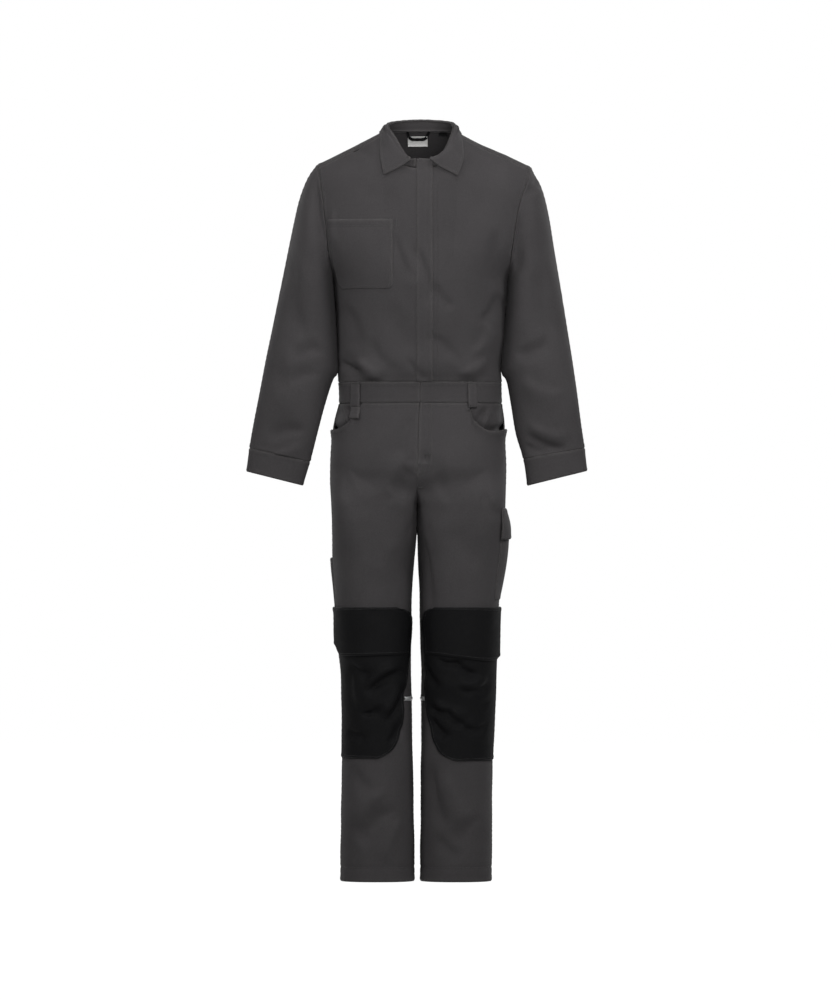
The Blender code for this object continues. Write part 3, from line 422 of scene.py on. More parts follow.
# finer creases: panel, x and z at both ends, sideways bow, half width, height (minus: trough)
CREASES = [
    ("front", -46, -187, -7, -276, 4, 8, -2.2),
    ("front", -2, -209, 30, -326, -5, 9, -2.8),
    ("front", 37, -287, 74, -334, 4, 8, -2.2),
    ("front", -34, -200, 6, -300, 0, 10, 1.7),
    ("front", 138, -360, 172, -306, 5, 9, -3.4),
    ("front", 120, -430, 158, -372, 6, 11, 3.1),
    ("front", 30, -392, 92, -462, -8, 10, -2.2),
    ("front", -160, -446, -116, -470, 3, 6, -4.5),
    ("front", -128, -442, -84, -480, -4, 8, 3.6),
    ("front", -96, -402, -44, -470, 8, 12, -2.1),
    ("front", -150, -330, -120, -420, -6, 12, -2.2),
    ("front", -176, -130, -170, -205, 2, 7, 1.6),
    ("front", -118, -80, -40, -108, 6, 16, -1.0),
    ("front", 56, -84, 150, -122, -10, 22, -1.4),
    ("front", 168, -176, 176, -290, 4, 13, -3.6),
    ("front", -140, 2, -98, 0, 2, 6, -1.6),
    ("front", 90, -20, 180, -60, -8, 18, -1.6),
    ("front", 90, -470, 150, -440, 4, 8, 2.8),
    ("front", -20, -440, 20, -484, 2, 6, -1.4),
    ("back", -120, -180, -60, -250, 6, 14, -2.0),
    ("back", 70, -250, 140, -180, 6, 14, -2.0),
    ("back", -20, -300, 10, -430, 8, 16, -2.5),
    ("back", -130, -400, -70, -470, 8, 9, 3.4),
    ("back", 50, -400, 120, -466, -6, 9, 3.1),
    ("back", -60, -440, 40, -470, 5, 8, -3.1),
    ("leg_front", -4, -660, -36, -732, 4, 9, -2.2),
    ("leg_front", -14, -560, -30, -650, 3, 7, -1.4),
    ("leg_front", -24, -640, -60, -720, 6, 11, 2.2),
    ("leg_front", 19, -634, 30, -676, 2, 4, -2.0),
    ("leg_front", 44, -650, 56, -732, 3, 10, -1.8),
    ("leg_front", 30, -700, 64, -760, -5, 9, 1.8),
    ("leg_front", -50, -728, -76, -756, 3, 9, -1.5),
    ("leg_front", -8, -770, -22, -905, 4, 6, -2.4),
    ("leg_front", 12, -810, 30, -960, -4, 6, -2.2),
    ("leg_front", -40, -820, -70, -900, 8, 16, 1.4),
    ("leg_front", 120, -880, 70, -800, 8, 18, -1.4),
    ("leg_front", -150, -690, -110, -760, 6, 16, -1.2),
    ("leg_front", 140, -720, 172, -770, 4, 9, -2.0),
    ("leg_front", -134, -1080, -96, -1099, 4, 6, -3.9),
    ("leg_front", -100, -1134, -37, -1092, -5, 6, -5.1),
    ("leg_front", -104, -1120, -44, -1078, -5, 8, 3.6),
    ("leg_front", -113, -1181, -75, -1166, 4, 5, -3.9),
    ("leg_front", -62, -1193, -28, -1126, 5, 6, -5.1),
    ("leg_front", -74, -1180, -44, -1120, 5, 8, 3.3),
    ("leg_front", -138, -1219, -105, -1229, 3, 6, -3.6),
    ("leg_front", -136, -1084, -128, -1176, 3, 6, -1.5),
    ("leg_front", -60, -1240, -40, -1205, 3, 6, -2.7),
    ("leg_front", 44, -1067, 92, -1072, 6, 5, -3.9),
    ("leg_front", 84, -1071, 122, -1099, 5, 5, -4.2),
    ("leg_front", 92, -1130, 144, -1122, 6, 6, -4.0),
    ("leg_front", 90, -1116, 140, -1108, 6, 8, 3.0),
    ("leg_front", 31, -1168, 70, -1178, 4, 6, -5.1),
    ("leg_front", 66, -1176, 96, -1204, 4, 6, -5.1),
    ("leg_front", 40, -1156, 96, -1186, 4, 9, 3.3),
    ("leg_front", 94, -1203, 140, -1208, 9, 6, -4.0),
    ("leg_front", 22, -1084, 48, -1124, 4, 6, -3.6),
    ("leg_front", 34, -1193, 66, -1228, 4, 6, -4.5),
    ("leg_front", 118, -1146, 146, -1160, 4, 6, -2.0),
    ("leg_front", -54, -1383, -113, -1454, 8, 12, -2.6),
    ("leg_front", -72, -1340, -124, -1420, 8, 15, 2.4),
    ("leg_front", -36, -1408, -66, -1490, 5, 12, 1.8),
    ("leg_front", -130, -1300, -84, -1350, 6, 12, -1.8),
    ("leg_front", 31, -1300, 58, -1412, 6, 10, -3.0),
    ("leg_front", 60, -1310, 112, -1418, 8, 14, 2.4),
    ("leg_front", 128, -1400, 90, -1460, 8, 12, -2.0),
    ("leg_front", 44, -1440, 96, -1482, 6, 12, -1.6),
    ("leg_back", -40, -1090, -130, -1120, 8, 9, -3.0),
    ("leg_back", -40, -1150, -140, -1140, -8, 8, -3.0),
    ("leg_back", 40, -1100, 140, -1130, 8, 8, -3.0),
    ("leg_back", 40, -1160, 130, -1140, -8, 9, -3.0),
    ("leg_back", -50, -1200, -130, -1240, 6, 10, -2.2),
    ("leg_back", 50, -1190, 130, -1236, 6, 10, -2.2),
    ("leg_back", -40, -820, -110, -900, 8, 14, -2.4),
    ("leg_back", 40, -810, 110, -890, -8, 14, -2.4),
    ("leg_back", -60, -1340, -110, -1430, 8, 13, -2.0),
    ("leg_back", 60, -1350, 110, -1440, 8, 13, -2.0),
    ("hip_pocket", -147, -538, -141, -562, 2, 4, -3.0),
    ("hip_pocket", -161, -540, -156, -590, 2, 4, -2.6),
    ("hip_pocket", -152, -544, -146, -584, 2, 4, 1.8),
    ("hip_pocket", 149, -542, 131, -586, 3, 5, -3.8),
    ("hip_pocket", 158, -544, 144, -588, 3, 6, 2.0),
    ("hip_pocket", 150, -572, 172, -592, 3, 5, -1.8),
    ("sleeve_right_front", -264, -232, -244, -388, 6, 15, -3.4),
    ("sleeve_right_front", -248, -399, -266, -566, 8, 16, 3.4),
    ("sleeve_right_front", -206, -70, -196, -190, 5, 10, -3.6),
    ("sleeve_right_front", -200, -420, -262, -440, 6, 11, -2.9),
    ("sleeve_right_front", -214, -470, -290, -500, 6, 12, -2.1),
    ("sleeve_right_front", -238, -590, -310, -604, 5, 9, -2.6),
    ("sleeve_right_front", -300, -640, -240, -620, 4, 8, 1.8),
    ("sleeve_left_front", 222, -92, 256, -62, 4, 7, -2.6),
    ("sleeve_left_front", 226, -108, 262, -80, 4, 8, 1.8),
    ("sleeve_left_front", 214, -130, 210, -260, 6, 14, -3.1),
    ("sleeve_left_front", 262, -250, 276, -390, 6, 16, -2.9),
    ("sleeve_left_front", 208, -430, 280, -400, 6, 12, -2.9),
    ("sleeve_left_front", 222, -486, 300, -520, 8, 13, 2.3),
    ("sleeve_left_front", 233, -598, 306, -628, 6, 7, -3.9),
    ("sleeve_left_front", 236, -576, 310, -604, 6, 8, 2.3),
    ("sleeve_left_front", 228, -618, 268, -634, 3, 6, -2.6),
    ("sleeve_right_back", -210, -160, -270, -210, 8, 14, -3.1),
    ("sleeve_right_back", -200, -410, -280, -380, 8, 10, -3.9),
    ("sleeve_right_back", -205, -450, -290, -440, 8, 10, -3.4),
    ("sleeve_right_back", -240, -560, -320, -590, 6, 10, -2.6),
    ("sleeve_left_back", 214, -150, 280, -210, 8, 14, -3.1),
    ("sleeve_left_back", 206, -406, 290, -380, 8, 10, -3.9),
    ("sleeve_left_back", 210, -452, 300, -440, 8, 10, -3.4),
    ("sleeve_left_back", 240, -560, 330, -590, 6, 10, -2.6)]


def smooth(t):
    """Ease from 0 to 1."""
    t = np.clip(t, 0, 1)
    return t * t * (3 - 2 * t)


def column(table, key, index):
    """Read one column of a table at the given keys, with soft corners."""
    order = np.argsort(table[:, 0])
    keys, values = table[order, 0], table[order, index]
    slopes = np.gradient(values, keys)
    key = np.clip(key, keys[0], keys[-1])
    i = np.clip(np.searchsorted(keys, key, side="right") - 1, 0, len(keys) - 2)
    step = keys[i + 1] - keys[i]
    t = (key - keys[i]) / step
    return (values[i] * (2 * t**3 - 3 * t**2 + 1) + values[i + 1] * (3 * t**2 - 2 * t**3)
            + slopes[i] * step * (t**3 - 2 * t**2 + t) + slopes[i + 1] * step * (t**3 - t**2))


def arc(angle, exponent):
    """Across and depth of a unit rounded square, angle in degrees from the middle."""
    a = np.radians(angle)
    across = np.sign(np.sin(a)) * np.abs(np.sin(a))**(2 / exponent)
    depth = np.sign(np.cos(a)) * np.abs(np.cos(a))**(2 / exponent)
    return across, depth


def arc_angle(across, exponent):
    """Angle of the rounded square at a distance across."""
    across = np.clip(across, -1, 1)
    return np.degrees(np.arcsin(np.sign(across) * np.abs(across)**(exponent / 2)))


def ridge(s, reach):
    """Height of the shoulder ridge at a distance from the middle, s < 0 on the right."""
    right = np.interp(reach, RIDGE_RIGHT[:, 0], RIDGE_RIGHT[:, 1])
    left = np.interp(reach, RIDGE_LEFT[:, 0], RIDGE_LEFT[:, 1])
    return np.where(s < 0, right, left)


def edge_angle(z):
    """Angle of the body's section where the side seam or the armhole runs."""
    rise = np.clip((z - ARMPIT) / ARMHOLE_CURVE, 0, 1)
    return ARMHOLE_ANGLE + (90 - ARMHOLE_ANGLE) * (1 - rise)**2


def half_width(s, z):
    """Half width of the bodice's section on the side of s."""
    return np.where(s < 0, column(BODY, z, 2), column(BODY, z, 3))


def bodice_reach(s, z):
    """Distance from the middle, and unit depth, at s from -1 to 1."""
    limit = edge_angle(z)
    across, depth = arc(np.abs(s) * limit, ROUND)
    return half_width(s, z) * across / arc(limit, ROUND)[0], depth


def bodice(s, a):
    """Whole bodice: s from right to left seam, a up the front, over and down the back.

    Below the armpit a is the distance to it, and above it an angle: 90 is the ridge.
    """
    s, a = np.broadcast_arrays(np.asarray(s, float), np.asarray(a, float))
    back = a > 90
    b = np.where(back, 180 - a, a)
    rise = np.sin(np.radians(np.maximum(b, 0)))
    z = ARMPIT + np.where(b < 0, b, -ARMPIT * rise)
    for _ in range(8):
        reach, depth = bodice_reach(s, z)
        top = ridge(s, reach)
        z = np.where(b < 0, ARMPIT + b, ARMPIT + (top - ARMPIT) * rise)
    reach, depth = bodice_reach(s, z)
    depth = depth * np.cos(np.radians(np.maximum(b, 0)))
    full = np.where(back, column(BODY, z, 5), -column(BODY, z, 4))
    x = column(BODY, z, 1) + np.sign(s) * reach
    return np.stack([x, SIDE_Y + full * depth, z], axis=-1)


def on_bodice(x, z, back=False):
    """The s and a of the bodice's point at a place in the front view."""
    x, z = np.broadcast_arrays(np.asarray(x, float), np.asarray(z, float))
    from_middle = x - column(BODY, z, 1)
    limit = edge_angle(z)
    across = np.abs(from_middle) / half_width(from_middle, z) * arc(limit, ROUND)[0]
    s = np.sign(from_middle) * arc_angle(across, ROUND) / limit
    lift = (z - ARMPIT) / (ridge(from_middle, np.abs(from_middle)) - ARMPIT)
    b = np.where(z < ARMPIT, z - ARMPIT, np.degrees(np.arcsin(np.clip(lift, 0, 1))))
    return s, (180 - b if back else b)


def hips(side, u, z):
    """Trousers' ring above the fork: u 0 middle front, 1 side, 2 middle back."""
    half = column(HIPS, z, 3 if side > 0 else 2)
    across, depth = arc(u * 90, ROUND + SEAT_SQUARER * smooth((SEAT_FROM - z) / SEAT_OVER))
    depth = depth * np.where(u < 1, column(HIPS, z, 4), column(HIPS, z, 5))
    x = column(HIPS, z, 1) + side * half * across
    return np.stack([x, SIDE_Y - depth, z + 0 * u], axis=-1)


def tube(side, u, z):
    """Trouser leg: u 0 inseam, 1 side seam by the front, 2 inseam by the back."""
    table = LEG_LEFT if side > 0 else LEG_RIGHT
    inner, outer = column(table, z, 1), column(table, z, 2)
    across, depth = arc(u * 180 - 90, column(table, z, 5))
    depth = depth * np.where(u < 1, column(table, z, 3), column(table, z, 4))
    x = side * ((inner + outer) / 2 + (outer - inner) / 2 * across)
    return np.stack([x, SIDE_Y - depth, z + 0 * u], axis=-1)


def leg(side, u, z):
    """Trousers from the waist to the hem, with the curved rise between ring and leg."""
    u, z = np.broadcast_arrays(np.asarray(u, float), np.asarray(z, float))
    t = np.clip((z - CROTCH) / (RISE_TOP - CROTCH), 0, 1)
    inside = FORK_SHARE * (1 - t)
    near, far = np.minimum(u, 2 - u), u > 1
    ring_u = np.clip((near - inside) / (1 - inside), 0, 1)
    upper = hips(side, np.where(far, 2 - ring_u, ring_u), np.maximum(z, CROTCH))
    lower = tube(side, u, np.minimum(z, RISE_TOP))
    fork = (1 - np.clip(near / FORK_BLEND, 0, 1))**2
    share = smooth(t) + (np.sin(t * np.pi / 2) - smooth(t)) * fork
    height = t + (1 - np.cos(t * np.pi / 2) - t) * fork
    points = lower + (upper - lower) * share[..., None]
    between = (z > CROTCH) & (z < RISE_TOP)
    points[..., 2] = np.where(between, CROTCH + (RISE_TOP - CROTCH) * height, z)
    return points


def on_leg(side, x, z):
    """The u of a place on a leg's front, found by halving."""
    x, z = np.broadcast_arrays(np.asarray(x, float), np.asarray(z, float))
    low, high = np.zeros(x.shape), np.ones(x.shape)
    for _ in range(HALVINGS):
        middle = (low + high) / 2
        short = side * leg(side, middle, z)[..., 0] < side * x
        low, high = np.where(short, middle, low), np.where(short, high, middle)
    return low


def armhole(side, u):
    """The armhole's edge on the bodice, with the sleeve's own u."""
    climb = np.degrees(np.arcsin(np.clip((1 - np.cos(u * np.pi)) / 2, 0, 1)))
    return bodice(side * np.ones_like(u), np.where(u % 2 <= 1, climb, 180 - climb))


def oval(sizes, u):
    """Sleeve ring from its outer and inner edge in the front view and its depth."""
    ox, oz, ix, iz, y, half_depth = sizes
    lean = np.cos(u * np.pi)
    x = (ox + ix) / 2 - (ox - ix) / 2 * lean
    z = (oz + iz) / 2 - (oz - iz) / 2 * lean
    return np.stack([x, y - half_depth * np.sin(u * np.pi), z], axis=-1)


def sleeve(side, u, row):
    """Sleeve: u 0 underarm, 1 along the top by the front, 2 underarm; row down the arm."""
    u, row = np.broadcast_arrays(np.asarray(u, float), np.asarray(row, float))
    table = SLEEVE_LEFT if side > 0 else SLEEVE_RIGHT
    rows = np.column_stack([np.arange(len(table)), table])
    ring = oval([column(rows, row, k) for k in range(1, rows.shape[1])], u)
    to_hole = armhole(side, u) - oval(table[0], u) + np.array([side, 0, -1]) * SLEEVE_CLEAR
    return ring + to_hole * (1 - smooth(row / SLEEVE_SET_IN))[..., None]


def unit(vectors):
    """Vectors of length one."""
    return vectors / np.maximum(np.linalg.norm(vectors, axis=-1, keepdims=True), TINY)


def along(surface, sign, s, v, step=0.5, aside=0.003):
    """Points of a surface and their outward normals, by differences of aside and step."""
    points = surface(s, v)
    across = surface(s + aside, v) - surface(s - aside, v)
    upward = surface(s, v + step) - surface(s, v - step)
    return points, unit(sign * np.cross(across, upward))


def lapped(points):
    """Let the edges of a grid run a little into the neighbours' seams."""
    points = points.copy()
    for end, beside_end, axis in ((0, 1, 0), (-1, -2, 0), (0, 1, 1), (-1, -2, 1)):
        view = points if axis == 0 else points.swapaxes(0, 1)
        view[end] -= unit(view[beside_end] - view[end]) * LAP
    return points


def stretch(first, last, steps):
    """Rows between two curves: one row of values for each step."""
    steps = np.asarray(steps, float)[:, None]
    return np.asarray(first)[None] * (1 - steps) + np.asarray(last)[None] * steps


def neck_front(side, reach):
    """Height of the neckline in front at a distance from the middle."""
    seam = ridge(side, NECK_HALF) - SHOULDER_DROP
    fall = 1 - np.sqrt(1 - np.clip(reach / NECK_HALF, 0, 1)**2)
    return NECK_FRONT + (seam - NECK_FRONT) * fall


def top_front(s):
    """The a of the front's upper edge and its distance out: neckline, then shoulder seam."""
    z = np.full(s.shape, -20.0)   # a first guess, brought closer in each round
    for _ in range(30):
        reach = bodice_reach(s, z)[0]
        over = ridge(s, reach) - SHOULDER_DROP
        aim = np.where(reach < NECK_HALF, neck_front(s, reach), over)
        z = (z + aim) / 2
    return lift_of(s, z), bodice_reach(s, z)[0]


def neck_column(side):
    """The s where the neckline meets the shoulder seam, to the nearest thousandth."""
    s = np.linspace(0.2, 0.6, 401) * side
    return s[np.searchsorted(top_front(s)[1], NECK_HALF)]


def lift_of(s, z):
    """Lift angle of the bodice's surface at s and a height."""
    z = z + 0 * s
    lift = (z - ARMPIT) / (ridge(s, bodice_reach(s, z)[0]) - ARMPIT)
    return np.degrees(np.arcsin(np.clip(lift, 0, 1)))


def neckline(place):
    """Neck seam, from the right front end at 0 round the back to the left at 1."""
    side = np.where(place < 0.5, -1.0, 1.0)
    q = 1 - np.abs(2 * place - 1)
    turn = np.clip(q / NECK_SHARE, 0, 1) * 90
    turn_back = np.clip((q - NECK_SHARE) / (1 - NECK_SHARE), 0, 1) * 90
    reach_back = NECK_HALF * np.cos(np.radians(turn_back))
    x_front = side * NECK_HALF * np.sin(np.radians(turn))
    x_front = x_front - OVERLAP * (1 - smooth(q / OVERLAP_SHARE))
    z_front = neck_front(side, np.abs(x_front))
    z_back = np.minimum(NECK_BACK, ridge(side, reach_back) - 1)
    front = bodice(*on_bodice(NECK_MIDDLE + x_front, z_front))
    back = bodice(*on_bodice(NECK_MIDDLE + side * reach_back, z_back, back=True))
    return np.where((q < NECK_SHARE)[..., None], front, back)


def outward(points):
    """Level directions away from the middle of the neck."""
    away = points - NECK_CENTRE
    away[..., 2] = 0
    return unit(away)


def relief(points, panel, fade):
    """How far the cloth stands out of the tables' surface: folds, then finer creases."""
    moved = np.zeros(points.shape[:-1])
    place = points[..., [0, 2]]
    for name, x0, z0, x1, z1, width, height in FOLDS:
        if name == panel:
            moved += height * crease(place, x0, z0, x1, z1, 0, width, 1.0)
    if panel.startswith("leg"):
        moved *= smooth(np.abs(points[..., 0]) / FOLDS_START)
    for name, x0, z0, x1, z1, bend, width, height in CREASES:
        if name == panel:
            moved += CREASE_DEPTH * height * crease(place, x0, z0, x1, z1, bend, width, LONG_FLANK)
    return moved * fade


def crease(place, x0, z0, x1, z1, bend, width, flank):
    """Height from 0 to 1 of one soft trough or ridge that runs between two places."""
    run = np.array([x1 - x0, z1 - z0], float)
    length = np.hypot(*run)
    offset = place - np.array([x0, z0])
    t = offset @ run / length**2
    away = (offset[..., 0] * run[1] - offset[..., 1] * run[0]) / length
    away = away - bend * 4 * np.clip(t, 0, 1) * (1 - np.clip(t, 0, 1))
    widening = 0.75 + 0.5 * np.clip(t, 0, 1)   # narrower at its start than at its end
    spread_out = np.where(away > 0, width * flank, width) * widening
    taper = smooth((t + CREASE_END) / CREASE_TAPER) * smooth((1 + CREASE_END - t) / CREASE_TAPER)
    return np.exp(-(away / spread_out)**2) * taper


def unevenness(points):
    """Gentle hand of worn cloth, about a millimetre: waves of unlike lengths, in mm."""
    x, y, z = points[..., 0], points[..., 1], points[..., 2]
    wide = np.sin(x / 31 + 1.3 * np.sin(z / 57)) * np.sin(z / 43 + y / 37)
    fine = np.sin(z / 13 + 2 * np.sin(x / 19)) * np.sin((x + y) / 11)
    return WIDE_HAND * wide + FINE_HAND * fine


def bodice_relief(s, points, panel):
    """Relief of the bodice's fronts or back, still at the side seams and the waist seam."""
    near_side = 1 - np.abs(s)
    near_waist = np.abs(points[..., 2] - WAIST_TOP)
    fade = smooth(near_side / SIDE_FADE) * smooth(near_waist / WAIST_FADE)
    return relief(points, panel, fade) + unevenness(points) * smooth(near_side / HAND_FADE)


def leg_relief(u, points, panel):
    """Relief of a trouser leg, still at the side seam and where the two legs join."""
    near = np.minimum(u, 2 - u)
    z = points[..., 2]
    joined = smooth((z - LEGS_PART) / 14) * smooth((RISE_TOP + 14 - z) / 10)
    joined = joined * smooth((0.07 - near) / 0.06)
    stand = relief(points, panel, smooth((1 - near) / LEG_FADE)) + unevenness(points)
    return stand * (1 - joined) + LEGS_TOUCH * joined


def sleeve_relief(u, row, points, panel):
    """Relief of a sleeve, still at its two seams and at the armhole."""
    fade = smooth(np.abs(np.sin(u * np.pi)) / ARM_FADE) * smooth(row / HEAD_FADE)
    return relief(points, panel, fade) + unevenness(points) * fade


def from_edge(points, edge):
    """Distance of each point of a grid from one of its edges, along the cloth, in mm."""
    grid = turned(points, edge)
    run = np.linalg.norm(np.diff(grid, axis=0), axis=-1)
    far = np.vstack([0 * run[:1], np.cumsum(run, axis=0)])
    return turned(far, edge, back=True)


def turned(grid, edge, back=False):
    """Turn a grid so that the named edge is its first row, or turn it back."""
    if edge == "b":
        return grid[::-1]
    if edge == "l":
        return grid.swapaxes(0, 1)
    if edge == "r":
        return grid.swapaxes(0, 1)[:, ::-1] if back else grid[:, ::-1].swapaxes(0, 1)
    return grid


def worked(points, normals, hems):
    """Edges as sewing leaves them: rolled, felled, a little puckered, and grooved at hems."""
    moved = np.zeros(points.shape[:-1])
    for edge, beginning in (("t", "l"), ("b", "l"), ("l", "t"), ("r", "t")):
        far = from_edge(points, edge)
        seam = from_edge(points, beginning)
        wave = np.sin(seam / PUCKER_PITCH + 1.9 * np.sin(seam / 23))
        moved -= ROLL * np.exp(-(far / ROLL_REACH)**2)
        moved += PUCKER * wave * np.exp(-((far - PUCKER_AT) / PUCKER_AT)**2)
        moved += FELL * smooth((FELL_WIDE - far) / 2.5) * smooth(far / 1.5)
        for name, depth in hems:
            if name == edge:
                moved -= GROOVE * np.exp(-((far - depth) / GROOVE_REACH)**2)
    return points + normals * moved[..., None]


def fractions(size, pitch, near=EDGE_ROWS):
    """Places from 0 to 1 across a piece of that size in mm, closer at both edges."""
    near = [d / size for d in near if d < size * 0.45]
    inside = np.linspace(0, 1, max(3, int(round(size / pitch)) + 1))
    limit = max(near) * 1.05
    inside = inside[(inside > limit) & (inside < 1 - limit)]
    return np.unique(np.round([0, *near, *inside, *[1 - d for d in near], 1], 5))


def linear(code):
    """sRGB hex value as a linear colour."""
    parts = [int(code[k:k + 2], 16) / 255 for k in (1, 3, 5)]
    return tuple(p / 12.92 if p <= 0.04045 else ((p + 0.055) / 1.055)**2.4 for p in parts)


def add(tree, kind, props=None, values=None, links=None):
    """Add a node with its settings, plain values and links."""
    made = tree.nodes.new(kind)
    for name, value in (props or {}).items():
        setattr(made, name, value)
    for name, value in (values or {}).items():
        made.inputs[name].default_value = value
    for name, source in (links or {}).items():
        tree.links.new(source, made.inputs[name])
    return made


def bands(spacing):
    """Scale that gives a wave texture bands of that spacing in metres."""
    return math.tau / WAVES / spacing


def blank(name):
    """New material with its shader, and the tree that both stand in."""
    made = bpy.data.materials.new(name)
    made.use_nodes = True
    tree = made.node_tree
    return made, tree, tree.nodes["Principled BSDF"]


def finish(slot):
    """Material of a slot, made once."""
    name, make = FINISHES[slot]
    return bpy.data.materials.get(name) or make(name)


def woven(name, colour, worn, rib, slope, depth, roughness, sheen, shine, cross=0.35):
    """Woven cloth on its own grain: ribs of yarn with painted shade in their hollows, uneven dye,
    and edges rubbed by wear.
    """
    made, tree, shader = blank(name)
    grain = add(tree, "ShaderNodeUVMap", props={"uv_map": "grain"})
    ribs = add(tree, "ShaderNodeMapping", values={"Rotation": (0, 0, math.radians(slope))},
               links={"Vector": grain.outputs["UV"]})
    line = add(tree, "ShaderNodeTexWave", values={"Scale": bands(rib), "Distortion": 0.6,
               "Detail": 1.0, "Detail Scale": 0.4}, links={"Vector": ribs.outputs["Vector"]})
    yarn = add(tree, "ShaderNodeTexWave", props={"bands_direction": "Y"},
               values={"Scale": bands(rib * 0.8), "Distortion": 0.8},
               links={"Vector": ribs.outputs["Vector"]})
    weave = add(tree, "ShaderNodeMix", props={"data_type": "FLOAT"}, values={"Factor": cross},
                links={"A": line.outputs["Fac"], "B": yarn.outputs["Fac"]})
    place = add(tree, "ShaderNodeTexCoord").outputs["Object"]
    dye, fleck, rub, soft = (
        add(tree, "ShaderNodeTexNoise", values={"Scale": scale, "Detail": detail},
            links={"Vector": place})
        for scale, detail in ((CLOUDS, 4.0), (FLECKS, 2.0), (RUBS, 3.0), (LUMPS, 3.0)))
    near = add(tree, "ShaderNodeAttribute", props={"attribute_name": "edge"})
    rubbed = add(tree, "ShaderNodeMath", props={"operation": "MULTIPLY"},
                 links={0: near.outputs["Fac"], 1: rub.outputs["Fac"]})
    shade = add(tree, "ShaderNodeMapRange", values={"From Min": 0.3, "From Max": 0.7,
                "To Min": 0.93, "To Max": 1.07}, links={"Value": dye.outputs["Fac"]})
    speck = add(tree, "ShaderNodeMapRange", values={"From Min": 0.3, "From Max": 0.7,
                "To Min": 0.9, "To Max": 1.1}, links={"Value": fleck.outputs["Fac"]})
    # painted shade: the weave's hollows are drawn darker in the colour, on top of its bump
    painted_weave_shade = add(tree, "ShaderNodeMapRange", values={"To Min": 0.86, "To Max": 1.07},
                 links={"Value": weave.outputs["Result"]})
    both = add(tree, "ShaderNodeMath", props={"operation": "MULTIPLY"},
               links={0: shade.outputs["Result"], 1: speck.outputs["Result"]})
    tone = add(tree, "ShaderNodeMath", props={"operation": "MULTIPLY"},
               links={0: both.outputs["Value"], 1: painted_weave_shade.outputs["Result"]})
    base = add(tree, "ShaderNodeMix", props={"data_type": "RGBA"},
               values={"A": (*colour, 1), "B": (*worn, 1)},
               links={"Factor": rubbed.outputs["Value"]})
    toned = add(tree, "ShaderNodeVectorMath", props={"operation": "SCALE"},
                links={0: base.outputs["Result"], "Scale": tone.outputs["Value"]})
    tree.links.new(toned.outputs["Vector"], shader.inputs["Base Color"])
    hand = add(tree, "ShaderNodeBump", values={"Strength": 0.35, "Distance": 0.0012},
               links={"Height": soft.outputs["Fac"]})
    raised = add(tree, "ShaderNodeBump", values={"Strength": 0.6, "Distance": depth},
                 links={"Height": weave.outputs["Result"], "Normal": hand.outputs["Normal"]})
    tree.links.new(raised.outputs["Normal"], shader.inputs["Normal"])
    matt = add(tree, "ShaderNodeMapRange", values={"To Min": roughness - 0.07,
               "To Max": roughness + 0.07}, links={"Value": soft.outputs["Fac"]})
    tree.links.new(matt.outputs["Result"], shader.inputs["Roughness"])
    shader.inputs["Sheen Weight"].default_value = sheen
    shader.inputs["Sheen Roughness"].default_value = 0.45
    shader.inputs["Specular IOR Level"].default_value = shine
    return made


def twill(name):
    """Polyester cotton twill, piece dyed: matt, with a fine diagonal rib and a soft bloom."""
    # the real rib stands 0.5 mm apart; it is drawn at 1.1 mm, the finest that still shows
    colours = bpy.context.scene.suit_colours
    return woven(name, colours.twill, colours.worn, rib=0.0011, slope=27, depth=0.0002,
                 roughness=0.84, sheen=0.02, shine=0.12)


def canvas(name):
    """Coated polyamide canvas, plain woven: near black, tough, with a faint dull gloss."""
    # the real yarns are 0.6 mm apart; they are drawn at 1.2 mm
    colours = bpy.context.scene.suit_colours
    return woven(name, colours.patch, colours.patch_worn, rib=0.0012, slope=0, depth=0.00025,
                 roughness=0.62, sheen=0.0, shine=0.06, cross=0.5)


def satin(name):
    """Woven satin label, white and blank: smooth, with a silky gloss along the warp."""
    colours = bpy.context.scene.suit_colours
    return woven(name, colours.label, colours.label, rib=0.0008, slope=0, depth=0.00005,
                 roughness=0.45, sheen=0.0, shine=0.3, cross=0.1)


def tape(name):
    """Black herringbone tape, as hanger loops are made of: dense and dull."""
    colours = bpy.context.scene.suit_colours
    return woven(name, colours.tape, colours.patch_worn, rib=0.001, slope=30, depth=0.0002,
                 roughness=0.75, sheen=0.0, shine=0.15)


def beaded(name):
    """Reflective trim of glass beads on grey cloth: a cool silver with a fine sparkle."""
    made, tree, shader = blank(name)
    place = add(tree, "ShaderNodeTexCoord")
    beads = add(tree, "ShaderNodeTexVoronoi", values={"Scale": BEADS},
                links={"Vector": place.outputs["Object"]})
    colour = bpy.context.scene.suit_colours.reflective
    grey = add(tree, "ShaderNodeMapRange", values={"To Min": 0.8, "To Max": 1.1},
               links={"Value": beads.outputs["Distance"]})
    toned = add(tree, "ShaderNodeVectorMath", props={"operation": "SCALE"},
                values={0: tuple(colour)}, links={"Scale": grey.outputs["Result"]})
    tree.links.new(toned.outputs["Vector"], shader.inputs["Base Color"])
    bump = add(tree, "ShaderNodeBump", values={"Strength": 0.3, "Distance": 0.0001},
               links={"Height": beads.outputs["Distance"]})
    tree.links.new(bump.outputs["Normal"], shader.inputs["Normal"])
    shader.inputs["Roughness"].default_value = 0.32
    shader.inputs["Metallic"].default_value = 0.35
    return made


